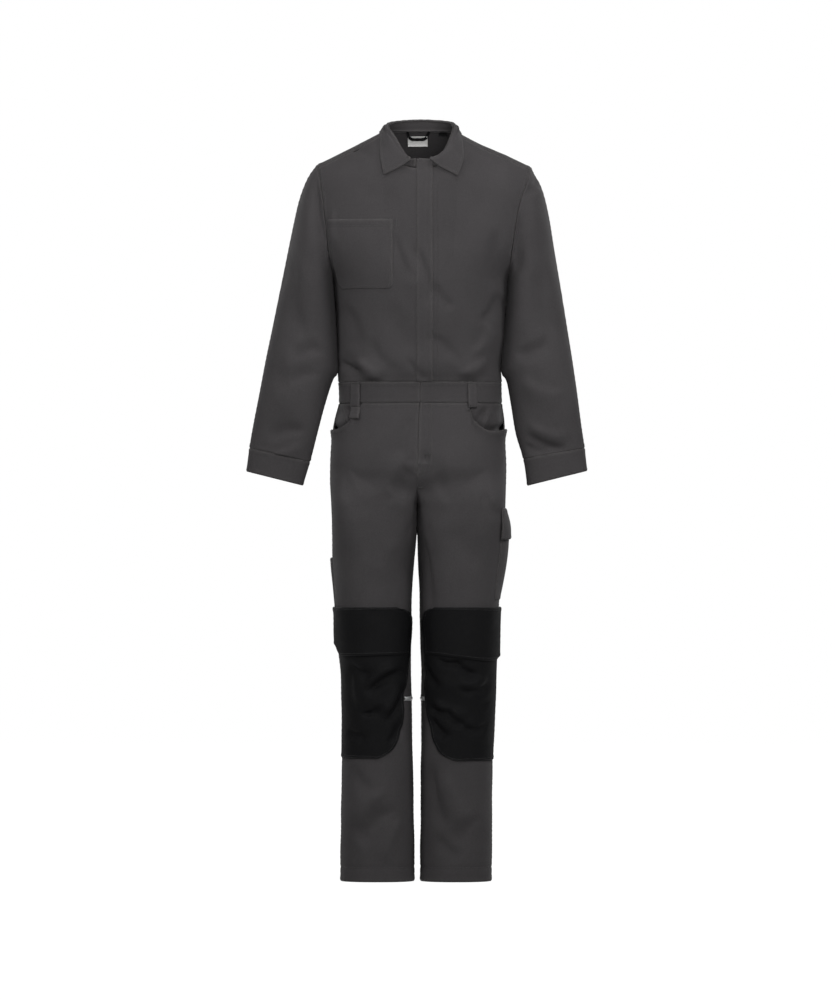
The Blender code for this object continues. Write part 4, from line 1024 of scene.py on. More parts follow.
def spun(name, colour):
    """Core-spun polyester sewing thread: twisted, a little glossier than the cloth."""
    made, tree, shader = blank(name)
    place = add(tree, "ShaderNodeTexCoord")
    twist = add(tree, "ShaderNodeTexNoise", values={"Scale": TWISTS},
                links={"Vector": place.outputs["Object"]})
    tone = add(tree, "ShaderNodeMapRange", values={"To Min": 0.8, "To Max": 1.2},
               links={"Value": twist.outputs["Fac"]})
    toned = add(tree, "ShaderNodeVectorMath", props={"operation": "SCALE"},
                values={0: tuple(colour)}, links={"Scale": tone.outputs["Result"]})
    tree.links.new(toned.outputs["Vector"], shader.inputs["Base Color"])
    shader.inputs["Roughness"].default_value = 0.55
    return made


def thread(name):
    """Grey thread for the twill, drawn darker than the cloth: painted shade of the grooves that
    its stitches sit in.
    """
    return spun(name, bpy.context.scene.suit_colours.thread)


def thread_dark(name):
    """Thread dyed to match the black canvas."""
    return spun(name, bpy.context.scene.suit_colours.thread_dark)


def painted_floor(name):
    """Matt studio floor paper: pale, and lost in the light towards its rim."""
    made, tree, shader = blank(name)
    place = add(tree, "ShaderNodeTexCoord")
    rim = add(tree, "ShaderNodeVectorMath", props={"operation": "LENGTH"},
              links={0: place.outputs["Object"]})
    rise = add(tree, "ShaderNodeMapRange", props={"interpolation_type": "SMOOTHSTEP"},
               values={"From Min": FLOOR_PLAIN, "From Max": FLOOR_RADIUS * 0.9,
                       "To Min": FLOOR_LIT}, links={"Value": rim.outputs["Value"]})
    grit = add(tree, "ShaderNodeTexNoise", values={"Scale": GRIT, "Detail": 2.0},
               links={"Vector": place.outputs["Object"]})
    bump = add(tree, "ShaderNodeBump", values={"Strength": 0.1, "Distance": 0.0003},
               links={"Height": grit.outputs["Fac"]})
    tree.links.new(bump.outputs["Normal"], shader.inputs["Normal"])
    colour = bpy.context.scene.suit_colours.floor
    shader.inputs["Base Color"].default_value = (*colour, 1)
    shader.inputs["Roughness"].default_value = 0.9
    glow = add(tree, "ShaderNodeEmission", values={"Color": (1, 1, 1, 1), "Strength": 1.12})
    mixed = add(tree, "ShaderNodeMixShader",
                links={0: rise.outputs["Result"], 1: shader.outputs["BSDF"],
                       2: glow.outputs["Emission"]})
    output = tree.nodes["Material Output"]
    tree.links.new(mixed.outputs["Shader"], output.inputs["Surface"])
    return made


FINISHES = {
    "twill": ("polyester cotton twill", twill),
    "patch": ("coated polyamide canvas", canvas),
    "label_white": ("satin label tape", satin),
    "tape": ("herringbone tape", tape),
    "reflective": ("glass bead trim", beaded),
    "thread": ("polyester thread grey", thread),
    "thread_dark": ("polyester thread black", thread_dark),
    "floor": ("studio floor paper", painted_floor)}


def cloth(node, points, normals, slot="twill", wall=WALL, lift=None, stand=0.0, hems=(),
          sheet=True, rests_on=(), look=None, alone=False):
    """Closed cloth wall that stands for a CAD node, with its grain and edges.

    A piece that is part of a panel takes the surface as its outer face. A piece with a lift
    is laid over the surface, that far off it.
    """
    raised = stand if lift is None else stand + lift + wall
    outer = lapped(worked(points + normals * np.asarray(raised)[..., None], normals, hems))
    made = bpy.data.meshes.new(f"{node}_cloth")
    corners = np.concatenate([outer.reshape(-1, 3), (outer - normals * wall).reshape(-1, 3)]) * MM
    made.from_pydata(corners.tolist(), [], wall_faces(outer, normals).tolist())
    grain_and_edges(made, points)
    made.materials.append(finish(look or slot))
    made.shade_smooth()
    made.set_sharp_from_angle(angle=SHARP)
    piece = bpy.data.objects.new(f"{node}_cloth", made)
    bpy.context.scene.collection.objects.link(piece)
    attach(piece, BODY_NAME)
    if not alone:
        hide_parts(node)
    PIECES[node] = (outer, normals)


def wall_faces(outer, normals):
    """Faces of a closed wall: outer grid, inner grid and the four edges between them."""
    rows, cols = outer.shape[:2]
    first = np.arange(rows * cols).reshape(rows, cols)
    second = first + rows * cols
    quads = ((first[:-1, :-1], first[:-1, 1:], first[1:, 1:], first[1:, :-1]),
             (second[:-1, :-1], second[1:, :-1], second[1:, 1:], second[:-1, 1:]),
             (first[:-1, 0], first[1:, 0], second[1:, 0], second[:-1, 0]),
             (first[1:, -1], first[:-1, -1], second[:-1, -1], second[1:, -1]),
             (first[0, 1:], first[0, :-1], second[0, :-1], second[0, 1:]),
             (first[-1, :-1], first[-1, 1:], second[-1, 1:], second[-1, :-1]))
    faces = np.concatenate([np.stack([np.ravel(k) for k in quad], axis=-1) for quad in quads])
    r, c = rows // 2, cols // 2
    facing = np.cross(outer[r, c] - outer[r, c - 1], outer[r, c] - outer[r - 1, c])
    return faces[:, ::-1] if np.dot(facing, normals[r, c]) < 0 else faces


def grain_and_edges(made, points):
    """UV map in metres along the cloth, and how near each point is to an edge."""
    middle = points.shape[1] // 2
    across = from_edge(points, "l")
    across = across - across[:, middle:middle + 1]
    up = from_edge(points, "t")
    up = np.broadcast_to(up[:, middle:middle + 1], up.shape)
    grain = np.stack([across, up], axis=-1).reshape(-1, 2) * MM
    grain = np.concatenate([grain, grain])   # the inner face has the outer one's grain
    near = np.min([from_edge(points, edge) for edge in "tblr"], axis=0)
    near = np.exp(-(near / EDGE_REACH)**2).ravel()
    corner = np.zeros(len(made.loops), np.int32)
    made.loops.foreach_get("vertex_index", corner)
    layer = made.uv_layers.new(name="grain")
    layer.data.foreach_set("uv", grain[corner].astype(np.float32).ravel())
    edge = made.attributes.new("edge", "FLOAT", "POINT")
    edge.data.foreach_set("value", np.concatenate([near, near]).astype(np.float32))


def beside(node, edge, offset=ROW, start=0.0, end=1.0):
    """Line of stitching beside one edge of a finished piece, offset mm in from it."""
    points, normals = PIECES[node]
    grid, out = turned(points, edge), turned(normals, edge)
    far = turned(from_edge(points, edge), edge)
    index = np.clip((far < offset).sum(axis=0) - 1, 0, len(far) - 2)
    column_of = np.arange(grid.shape[1])
    near, beyond = far[index, column_of], far[index + 1, column_of]
    t = ((offset - near) / (beyond - near))[:, None]
    line = grid[index, column_of] * (1 - t) + grid[index + 1, column_of] * t
    line = line + out[index, column_of] * THREAD_PROUD
    first, last = int(start * (len(line) - 1)), int(math.ceil(end * (len(line) - 1)))
    return line[first:last + 1]


def stitched(name, lines, slot="twill", pitch=None):
    """Rows of stitches along lines, made by a node tree and turned into one plain mesh.

    Their thread is chosen by the slot: black on the canvas, and on the twill a grey drawn darker
    than the cloth, as painted shade of the stitch grooves.
    """
    sizes = bpy.context.scene.suit_sizes
    corners = np.concatenate(lines) * MM
    links, start = [], 0
    for line in lines:
        links += [(start + k, start + k + 1) for k in range(len(line) - 1)]
        start += len(line)
    path = bpy.data.meshes.new(f"{name}_path")
    path.from_pydata(corners.tolist(), links, [])
    guide = bpy.data.objects.new(name, path)
    bpy.context.scene.collection.objects.link(guide)
    tree = stitch_tree(finish("thread_dark" if slot == "patch" else "thread"))
    modifier = guide.modifiers.new("Stitches", "NODES")
    modifier.node_group = tree
    for label, value in (("Pitch", pitch or sizes.stitch_pitch), ("Length", sizes.stitch_length),
                         ("Thickness", sizes.thread)):
        modifier[tree.interface.items_tree[label].identifier] = value
    graph = bpy.context.evaluated_depsgraph_get()
    made = bpy.data.meshes.new_from_object(guide.evaluated_get(graph))
    guide.modifiers.remove(modifier)
    made.shade_smooth()
    guide.data = made
    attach(guide, BODY_NAME)


def stitch_tree(thread):
    """Node tree: lines to evenly spaced stitches that lie along them."""
    name = f"Stitch rows in {thread.name}"
    if name in bpy.data.node_groups:
        return bpy.data.node_groups[name]
    tree = bpy.data.node_groups.new(name, "GeometryNodeTree")
    face = tree.interface
    face.new_socket("Geometry", in_out="INPUT", socket_type="NodeSocketGeometry")
    for label, value in (("Pitch", 0.0032), ("Length", 0.0026), ("Thickness", 0.0006)):
        socket = face.new_socket(label, in_out="INPUT", socket_type="NodeSocketFloat")
        socket.default_value = value
    face.new_socket("Geometry", in_out="OUTPUT", socket_type="NodeSocketGeometry")
    given = add(tree, "NodeGroupInput")
    curve = add(tree, "GeometryNodeMeshToCurve", links={"Mesh": given.outputs["Geometry"]})
    rows = add(tree, "GeometryNodeResampleCurve", props={"mode": "LENGTH"},
               links={"Curve": curve.outputs["Curve"], "Length": given.outputs["Pitch"]})
    half = add(tree, "ShaderNodeMath", props={"operation": "MULTIPLY"}, values={1: 0.5},
               links={0: given.outputs["Length"]})
    thin = add(tree, "ShaderNodeMath", props={"operation": "MULTIPLY"}, values={1: 0.5},
               links={0: given.outputs["Thickness"]})
    size = add(tree, "ShaderNodeCombineXYZ", links={"X": half.outputs[0],
               "Y": thin.outputs[0], "Z": thin.outputs[0]})
    bead = add(tree, "GeometryNodeMeshIcoSphere", values={"Radius": 1.0, "Subdivisions": 1})
    tangent = add(tree, "GeometryNodeInputTangent")
    turn = add(tree, "FunctionNodeAlignRotationToVector", props={"axis": "X"},
               links={"Vector": tangent.outputs["Tangent"]})
    laid = add(tree, "GeometryNodeInstanceOnPoints",
               links={"Points": rows.outputs["Curve"], "Instance": bead.outputs["Mesh"],
                      "Rotation": turn.outputs["Rotation"], "Scale": size.outputs["Vector"]})
    real = add(tree, "GeometryNodeRealizeInstances",
               links={"Geometry": laid.outputs["Instances"]})
    done = add(tree, "GeometryNodeSetMaterial", values={"Material": thread},
               links={"Geometry": real.outputs["Geometry"]})
    add(tree, "NodeGroupOutput", links={"Geometry": done.outputs["Geometry"]})
    return tree


def body_cloth(node, s, a, panel=None, **how):
    """Cloth on the bodice's surface at a grid of s and a."""
    points, normals = along(bodice, 1.0, s, a)
    stand = bodice_relief(s, points, panel) if panel else unevenness(points)
    cloth(node, points, normals, stand=stand, **how)


def leg_cloth(node, side, u, z, panel, gape=0.0, **how):
    """Cloth on a trouser leg's surface at a grid of u and z."""
    points, normals = along(lambda p, q: leg(side, p, q), side, u, z)
    cloth(node, points, normals, stand=leg_relief(u, points, panel) + gape, **how)


def sleeve_cloth(node, side, u, row, panel, **how):
    """Cloth on a sleeve's surface at a grid of u and row."""
    points, normals = along(lambda p, q: sleeve(side, p, q), -side, u, row, step=0.02)
    cloth(node, points, normals, stand=sleeve_relief(u, row, points, panel), **how)


def smooth_grid(values, rows, columns):
    """Read a small table at finer places, smoothly both ways."""
    values = np.asarray(values, float)
    places = np.linspace(0, 1, len(values))
    down = np.stack([column(np.column_stack([places, values[:, k]]), rows, 1)
                     for k in range(values.shape[1])], axis=1)
    places = np.linspace(0, 1, down.shape[1])
    return np.stack([column(np.column_stack([places, line]), columns, 1) for line in down])


def levels(top, low, pitch):
    """Heights from the top down, closer together at both ends."""
    return top + (low - top) * fractions(top - low, pitch)


def front_panel(word, side):
    """Front panel from the waist seam to neckline, shoulder seam and armhole."""
    s = np.unique(np.append(fractions(FRONT_WIDE, CELL), abs(neck_column(side)))) * side
    low = stretch(0 * s + WAIST_TOP - ARMPIT, 0 * s, fractions(ARMPIT - WAIST_TOP, CELL)[:-1])
    high = stretch(0 * s, top_front(s)[0], fractions(FRONT_RISE, CELL))
    a = np.vstack([low, high])
    body_cloth(f"front_{word}", np.broadcast_to(s, a.shape), a, panel="front",
               rests_on=["yoke_cloth", "placket_cloth"])


def back_panel():
    """Back panel from the waist seam up to the yoke."""
    s = fractions(BACK_WIDE, CELL) * 2 - 1
    low = stretch(0 * s + ARMPIT - WAIST_TOP, 0 * s, fractions(ARMPIT - WAIST_TOP, CELL)[:-1])
    high = stretch(0 * s, lift_of(s, YOKE_LOW), fractions(BACK_RISE, CELL))
    a = 180 + np.vstack([low, -high])
    body_cloth("back", np.broadcast_to(s, a.shape), a, panel="back", rests_on=["yoke_cloth"])


def yoke_panel():
    """Yoke over both shoulders, cut out round the neck."""
    right, left = neck_column(-1), neck_column(1)
    s = np.unique(np.concatenate([fractions(YOKE_WIDE, CELL) * 2 - 1, [right, left]]))
    reach = bodice_reach(s, NECK_BACK + 0 * s)[0]
    back_neck = 180 - lift_of(s, np.minimum(NECK_BACK, ridge(s, reach) - 2))
    at_neck = (s > right + 0.001) & (s < left - 0.001)
    start = np.where(at_neck, back_neck, top_front(s)[0])
    a = stretch(start, 180 - lift_of(s, YOKE_LOW), fractions(YOKE_LONG, CELL))
    body_cloth("yoke", np.broadcast_to(s, a.shape), a, rests_on=["collar_stand_cloth"])


def sleeve_panels():
    """Each sleeve has a front and a back half and a cuff."""
    for word, side in SIDES:
        for half, start in (("front", 0), ("back", 1)):
            node = f"sleeve_{word}_{half}"
            u, row = np.meshgrid(start + fractions(SLEEVE_HALF, CELL),
                                 fractions(SLEEVE_LONG, CELL) * CUFF_AT)
            sleeve_cloth(node, side, u, row, node,
                         rests_on=[f"front_{word}_cloth", "yoke_cloth"])
        u, row = np.meshgrid(CUFF_GAP + 2 * (1 - CUFF_GAP) * fractions(CUFF_ROUND, CELL),
                             CUFF_AT + fractions(CUFF_LONG, FINE))
        sleeve_cloth(f"cuff_{word}", side, u + CUFF_SPLIT, row, "cuff", wall=DOUBLED,
                     rests_on=[f"sleeve_{word}_front_cloth"])


def collar_pieces():
    """Stand round the neck and the fall that turns down over it."""
    place = STAND_ENDS + (1 - 2 * STAND_ENDS) * fractions(STAND_ROUND, CELL)
    seam = neckline(place)
    fold = np.stack([column(FOLD_LINE, place, k) for k in (1, 2, 3)], axis=-1)
    away = outward(seam)
    up = STAND_FOOT + (1 - STAND_FOOT) * fractions(STAND_HIGH, FINE)
    stand = np.stack([seam + (fold - seam) * t for t in up]) - away * STAND_IN
    cloth("collar_stand", stand, np.broadcast_to(away, stand.shape), rests_on=["yoke_cloth"])
    place = FALL_ENDS + (1 - 2 * FALL_ENDS) * fractions(FALL_ROUND, CELL)
    fold = np.stack([column(FOLD_LINE, place, k) for k in (1, 2, 3)], axis=-1)
    edge = fall_edge(place)
    away = outward(fold)
    bow = (away + UP) * FALL_BOW
    near_end = np.minimum(place, 1 - place)
    bow -= UP * FALL_DROP * (1 - smooth(near_end / FALL_DROP_OVER))[:, None]
    over = [fold + away * out + UP * rise for out, rise in FALL_ROLL]
    middle = [fold + (edge - fold) * t + bow * (1 - t) for t in FALL_BELOW]
    few = np.stack([*over, *middle, edge])
    rows = fractions(FALL_LONG, FINE)
    fall = np.stack([smooth_grid(few[..., k], rows, np.linspace(0, 1, len(place)))
                     for k in range(3)], axis=-1)
    normals = unit(np.cross(np.gradient(fall, axis=0), np.gradient(fall, axis=1)))
    normals *= np.sign((normals[len(rows) // 2:] * away).sum())
    cloth("collar_fall", fall, normals, wall=FALL_WALL,
          hems=[(name, TOPSTITCH) for name in "blr"], rests_on=["collar_stand_cloth"])


def fall_edge(place):
    """The fall's lower edge over the shoulders, nearer to the cloth behind and at the crest."""
    x, z, behind = (column(FALL_EDGE, place, k) for k in (1, 2, 3))
    behind = np.clip(behind, 0, 1)
    s, a = on_bodice(x, z)
    edge, off = along(bodice, 1.0, s, a + (180 - 2 * a) * behind)
    round_the_back = smooth(np.minimum(place - 0.15, 0.85 - place) / 0.08)
    at_crest = CREST_CLOSER * 4 * behind * (1 - behind)
    return edge + off * (FALL_CLEAR - FALL_CLOSER * round_the_back - at_crest)[:, None]


def trouser_piece(node, side, inner, outer, heights, across, lift, rise=0.0, **how):
    """Piece on a trouser front between two x edges, or to the side seam if outer is None."""
    first = on_leg(side, inner + 0 * heights, heights)
    last = 1 + 0 * heights if outer is None else on_leg(side, outer + 0 * heights, heights)
    u = stretch(first, last, across).T
    z = heights[:, None] + np.broadcast_to(rise, u.shape)
    leg_cloth(node, side, u, z, "leg_front", lift=lift, **how)


def closure_pieces():
    """Placket over the closed fronts, and the fly that carries it down the trousers."""
    heights = PLACKET_TOP + (WAIST_TOP - PLACKET_TOP) * fractions(PLACKET_LONG, CELL)
    on_front = np.minimum(heights, PLACKET_TURN)
    inner, outer = (x + 0 * heights for x in PLACKET_EDGES)
    x = stretch(inner, outer, fractions(PLACKET_WIDE, FINE)).T
    s, a = on_bodice(x, np.broadcast_to(on_front[:, None], x.shape))
    points, normals = along(bodice, 1.0, s, a)
    over_the_neck = (heights - on_front)[:, None]
    points[..., 2] += over_the_neck
    points[..., 1] += PLACKET_LEAN * over_the_neck
    stand = bodice_relief(s, points, "front")
    cloth("placket", points, normals, stand=stand, lift=LAID + UNDER, hems=[("r", PLACKET_HEM)],
          rests_on=["front_left_cloth"])
    down = fractions(WAIST_LOW - RISE_TOP, CELL)
    heights = WAIST_LOW + (RISE_TOP - WAIST_LOW) * down
    across = fractions(FLY_WIDE, FINE)
    # its inner edge lies over the trousers, and the rest of it is level with them
    raised = (1 - smooth(across / 0.35))[None] * smooth((1 - down) / 0.3)[:, None]
    trouser_piece("fly", 1, *FLY_EDGES, heights, across,
                  (LAID + WALL) * raised - WALL + FLY_PROUD,
                  rests_on=["trouser_left_front_cloth"])


def waist_pieces():
    """Three bands between bodice and trousers, four belt loops bowed off them, and a tab."""
    down = levels(WAIST_TOP, WAIST_LOW, FINE) - ARMPIT
    for word, side in SIDES:
        s, a = np.meshgrid(side * fractions(BAND_WIDE, CELL), down)
        body_cloth(f"waistband_{word}", s, a, rests_on=[f"front_{word}_cloth"])
    s, a = np.meshgrid(fractions(2 * BAND_WIDE, CELL) * 2 - 1, 180 - down)
    body_cloth("waistband_back", s, a, rests_on=["back_cloth"])
    down = fractions(LOOP_HIGH, FINEST)
    across = fractions(LOOP_WIDE, FINE, near=FEW_EDGE_ROWS)
    for node, middle, back in BELT_LOOPS:
        x, z = np.meshgrid(middle + LOOP_WIDE * (across - 0.5), LOOP_TOP - LOOP_LONG * down)
        s, a = on_bodice(x, z, back=back)
        bow = smooth(np.minimum(down, 1 - down) / 0.3)[:, None] * LOOP_BOW + LAID
        bow += LOOP_OVER * smooth((down - 0.72) / 0.12)[:, None]
        band = "waistband_back" if back else f"waistband_{'left' if middle > 0 else 'right'}"
        body_cloth(node, s, a, lift=bow + 0 * s, wall=DOUBLED, rests_on=[f"{band}_cloth"])
    down = fractions(TAB_HIGH, FINEST)
    across = fractions(TAB_WIDE, FINE, near=FEW_EDGE_ROWS)
    flare = LAID + 0.6 + TAB_FLARE * smooth(down)[:, None] + 0 * across[None]
    trouser_piece("loop_tab", -1, *TAB_EDGES, TAB_TOP - TAB_LONG * down, across, flare,
                  wall=DOUBLED, rests_on=["trouser_right_front_cloth"], alone=True)


def chest_pocket_piece():
    """Patch pocket with rounded lower corners on the right breast."""
    down, across = fractions(CHEST_LONG, MEDIUM), fractions(CHEST_WIDE, MEDIUM)
    heights = CHEST_TOP - CHEST_LONG * down
    corner = np.clip((CHEST_TOP - CHEST_LONG + CHEST_CORNER - heights) / CHEST_CORNER, 0, 1)
    draw = CHEST_DRAW * (1 - np.sqrt(1 - corner**2))
    outer = column(CHEST_EDGE, heights, 1) + draw
    x = stretch(outer, CHEST_INNER - draw, across).T
    s, a = on_bodice(x, np.broadcast_to(heights[:, None], x.shape))
    soft = smooth(np.minimum(across, 1 - across) / 0.2)[None] * smooth((1 - down) / 0.2)[:, None]
    body_cloth("chest_pocket", s, a, panel="front", lift=LAID + CHEST_PUFF * soft,
               hems=[("t", CHEST_HEM)], rests_on=["front_right_cloth"])


def trouser_top(side, u):
    """Upper edge of the trouser front: waist seam, then the scoop of the pocket."""
    reach = hips(side, u, SEAT_FROM + 0 * u)[..., 0] * side
    return column(SCOOP_LEFT if side > 0 else SCOOP_RIGHT, reach, 1)


def trouser_panels():
    """Front and back of each leg, cut across at the knee seam."""
    across = fractions(LEG_WIDE, CELL)
    thigh = levels(RISE_LOW_ROW, KNEE_SEAM, CELL)[1:]
    for word, side in SIDES:
        for half, u, band in (("front", across, word), ("back", 2 - across, "back")):
            top = trouser_top(side, u) if half == "front" else WAIST_LOW + 0 * u
            z = np.vstack([stretch(top, RISE_LOW_ROW + 0 * u, fractions(WAIST_TO_ROW, CELL)),
                           np.broadcast_to(thigh[:, None], (len(thigh), len(u)))])
            gape = MOUTH_GAPE * np.exp(-((top - z) / MOUTH_REACH)**2)
            gape *= smooth((WAIST_LOW - 6 - top) / 30) * smooth((1.02 - u) / 0.05)
            leg_cloth(f"trouser_{word}_{half}", side, np.broadcast_to(u, z.shape), z,
                      f"leg_{half}", gape=gape, rests_on=[f"waistband_{band}_cloth"])
            wide, z = np.meshgrid(u, levels(KNEE_SEAM, HEM, CELL))
            leg_cloth(f"lower_leg_{word}_{half}", side, wide, z, f"leg_{half}",
                      hems=[("b", HEM_ROW)], rests_on=[f"trouser_{word}_{half}_cloth"])


def hip_pocket_pieces():
    """Backing cloth that shows inside each pocket's scooped mouth."""
    for word, side in SIDES:
        heights = levels(WAIST_LOW, WAIST_LOW - POCKET_LONG, MEDIUM)
        first = on_leg(side, POCKET_INNER[word] + 0 * heights, heights)
        u = stretch(first, POCKET_SIDE + 0 * heights, fractions(HIP_POCKET_WIDE, MEDIUM)).T
        z = np.broadcast_to(heights[:, None], u.shape)
        hung = smooth((0.985 - u) / 0.09) * smooth((WAIST_LOW - z) / 20)
        under_the_mouth = smooth((17 - (z - trouser_top(side, u))) / 14)
        deep = 2 * WALL + 0.6 + POCKET_DEEP * hung + MOUTH_DEEP * under_the_mouth
        leg_cloth(f"hip_pocket_{word}", side, u, z, "hip_pocket", lift=-deep,
                  rests_on=[f"waistband_{word}_cloth"])


def knee_pieces():
    """Knee pad pockets: a patch from the inner leg to the side seam, and its flap."""
    across = fractions(KNEE_WIDE, MEDIUM)
    for word, side in SIDES:
        table = KNEES[word]
        heights = KNEE_TOP + (table[-1, 0] - KNEE_TOP) * fractions(KNEE_LONG, MEDIUM)
        inner = column(table, heights, 1)
        first = on_leg(side, inner, heights)[:, None]
        u = first + (1 - first) * across
        trouser_piece(f"knee_patch_{word}", side, inner, None, heights, across,
                      LAID + padded(u), slot="patch",
                      rests_on=[f"trouser_{word}_front_cloth"])
        down = fractions(FLAP_LONG, MEDIUM)
        heights = FLAP_TOP - FLAP_LONG * down
        hang = smooth(down)[:, None] * (0.1 + 0.9 * across)[None]
        rise = NOTCH[word] * down[:, None] * smooth((across - 0.79) / 0.11)[None]
        rise -= SLANT[word] * down[:, None] * smooth((across - 0.1) / 0.55)[None]
        lift = LAID + padded(across) + WALL + FLAP_OVER + FLAP_HANG[word] * hang
        trouser_piece(f"knee_flap_{word}", side, column(table, heights, 1) + side * FLAP_BACK,
                      None, heights, across, lift, rise=rise, slot="patch",
                      rests_on=[f"knee_patch_{word}_cloth"])


def padded(across):
    """How far a knee pad lifts the cloth, from 0 at the inner side to 1 at the side seam."""
    return PAD * smooth(across / 0.15) * smooth((1 - across) / 0.12)


def side_pocket_pieces():
    """Cargo pocket with flap on the left thigh, tool pocket on the right one."""
    for node, side, start, end, top, low, swell, full, rows in SIDE_POCKETS:
        down = fractions(top - low, MEDIUM)
        across = fractions((end - start) * LEG_ROUND, MEDIUM)
        u, z = np.meshgrid(start + (end - start) * across, top + (low - top) * down)
        shape = np.array(rows)[:, None] * np.array(full)[None]
        lift = LAID + swell * np.maximum(smooth_grid(shape, down, across), 0)
        leg_cloth(node, side, u, z, "side_pocket", lift=lift,
                  rests_on=["trouser_left_back_cloth" if side > 0 else "trouser_right_back_cloth"])


def trim_pieces():
    """Reflective trim over each knee seam, and the bare labels and loop inside the neck."""
    for word, side in SIDES:
        patch = column(KNEES[word], np.array([KNEE_SEAM]), 1)
        end = on_leg(side, patch - side * TRIM_SHORT, KNEE_SEAM)[0]
        u = np.concatenate([np.linspace(TRIM_START, 2, 80), np.linspace(0, end, 12)[1:]])
        u, z = np.meshgrid(u, KNEE_SEAM + TRIM_HIGH * np.linspace(0.5, -0.5, 5))
        leg_cloth(f"piping_{word}", side, u, z, "trim", slot="reflective", wall=THIN,
                  lift=LAID, sheet=False)
    for node, left, right, top, low, deep, slot, look in LABELS:
        x, z = np.meshgrid(np.linspace(left, right, 12), np.linspace(top, low, 8))
        s, a = on_bodice(x, z + LABEL_RISE, back=True)
        body_cloth(node, s, a, slot=slot, look=look, wall=THIN, lift=-WALL - deep - THIN,
                   sheet=node == "care_label", rests_on=["yoke_cloth"])
    places = np.linspace(0, 1, len(HANGER_PATH))
    line = np.stack([column(np.column_stack([places, HANGER_PATH[:, k]]), np.linspace(0, 1, 40), 1)
                     for k in (0, 1)], axis=-1)
    run = unit(np.gradient(line, axis=0))
    aside = np.stack([-run[:, 1], run[:, 0]], axis=-1)
    band = line[None] + aside[None] * np.linspace(0, HANGER_WIDE, 4)[:, None, None]
    s, a = on_bodice(band[..., 0], band[..., 1] + LABEL_RISE, back=True)
    body_cloth("hanger_loop", s, a, slot="patch", look="tape", wall=THIN,
               lift=-WALL - HANGER_DEEP - THIN, sheet=False)


def in_front(places, lift=LAID):
    """Line of stitching on the bodice's front through places in x and z."""
    x, z = traced(places)
    s, a = on_bodice(x, z)
    points, normals = along(bodice, 1.0, s, a)
    stand = bodice_relief(s, points, "front") + lift + THREAD_PROUD
    return points + normals * stand[:, None]


def on_the_leg(side, places, lift=LAID):
    """Line of stitching on a trouser front through places in x and z."""
    x, z = traced(places)
    u = on_leg(side, x, z)
    points, normals = along(lambda p, q: leg(side, p, q), side, u, z)
    stand = leg_relief(u, points, "leg_front") + lift + THREAD_PROUD
    return points + normals * stand[:, None]


def traced(places):
    """Even points along a path, in x and z."""
    places = np.asarray(places, float)
    run = np.linalg.norm(np.diff(places, axis=0), axis=1)
    far = np.append(0, np.cumsum(run))
    steps = np.linspace(0, far[-1], max(3, int(far[-1] / TRACE_STEP)))
    return np.interp(steps, far, places[:, 0]), np.interp(steps, far, places[:, 1])


def bartack(line):
    """Dense bar of stitches, gone over three times."""
    return [line + np.array(shift) for shift in ((0, 0, 0), (0, -0.1, 0.7), (0, -0.1, -0.7))]


def twin(node, edge, near=ROW, far=SECOND_ROW, **span):
    """Two rows of stitching beside one edge."""
    return [beside(node, edge, near, **span), beside(node, edge, far, **span)]


def bodice_stitching():
    """Felled side seams, armholes, yoke, placket, pocket and waistband."""
    lines = []
    for word, edge in (("right", "l"), ("left", "r")):
        lines += twin(f"front_{word}", "r")
        lines += twin(f"waistband_{word}", "t")
        lines += [beside(f"waistband_{word}", "b")]
        lines += twin("back", edge)
    lines += twin("yoke", "b")
    for start, end in ((0.0, 0.3), (0.7, 1.0)):   # the two shoulders
        lines += twin("yoke", "t", start=start, end=end)
    lines += twin("waistband_back", "t")
    lines += [beside("waistband_back", "b")]
    lines += [beside("placket", "r"), in_front(PLACKET_ROW)]
    for edge in "lrb":
        lines += twin("chest_pocket", edge, *PATCH_ROWS)
    lines += [beside("chest_pocket", "t", CHEST_HEM), in_front(PEN_ROW, lift=LAID + WALL)]
    stitched("stitching_bodice", lines)


def collar_stitching():
    """One row round the collar's leaves, one along the stand's seam."""
    lines = [beside("collar_fall", edge, TOPSTITCH) for edge in "blr"]
    stitched("stitching_collar", lines + [beside("collar_stand", "t")])


def sleeve_stitching():
    """Sleeve seams and cuffs."""
    lines = []
    for word, _ in SIDES:
        lines += twin(f"sleeve_{word}_back", "l") + twin(f"sleeve_{word}_back", "r")
        lines += [beside(f"cuff_{word}", edge, far)
                  for edge, far in (("t", ROW), ("b", TOPSTITCH), ("l", BAR_ROW), ("r", BAR_ROW))]
    stitched("stitching_sleeves", lines)


def trouser_stitching():
    """Side seams, inseams, hems, pocket mouths, fly and side pockets."""
    lines = []
    for word, _ in SIDES:
        for piece in ("trouser", "lower_leg"):
            for half, edge in (("front", "r"), ("front", "l"), ("back", "l")):
                lines += twin(f"{piece}_{word}_{half}", edge)
        for half in ("front", "back"):
            lines += [beside(f"lower_leg_{word}_{half}", "b", HEM_ROW)]
            lines += [beside(f"trouser_{word}_{half}", "b", TOPSTITCH)]
        lines += twin(f"trouser_{word}_front", "t", ROW, 9)
        lines += [beside(f"trouser_{word}_back", "t")]
    lines += [on_the_leg(1, curve, lift=FLY_LIFT) for curve in FLY_ROWS]
    for node in ("cargo_pocket", "tool_pocket"):
        lines += [beside(node, edge) for edge in "lrb"] + [beside(node, "t", SIDE_HEM)]
    lines += twin("cargo_flap", "t")
    lines += [beside("cargo_flap", edge, FLAP_ROW) for edge in "lrb"]
    stitched("stitching_trousers", lines)


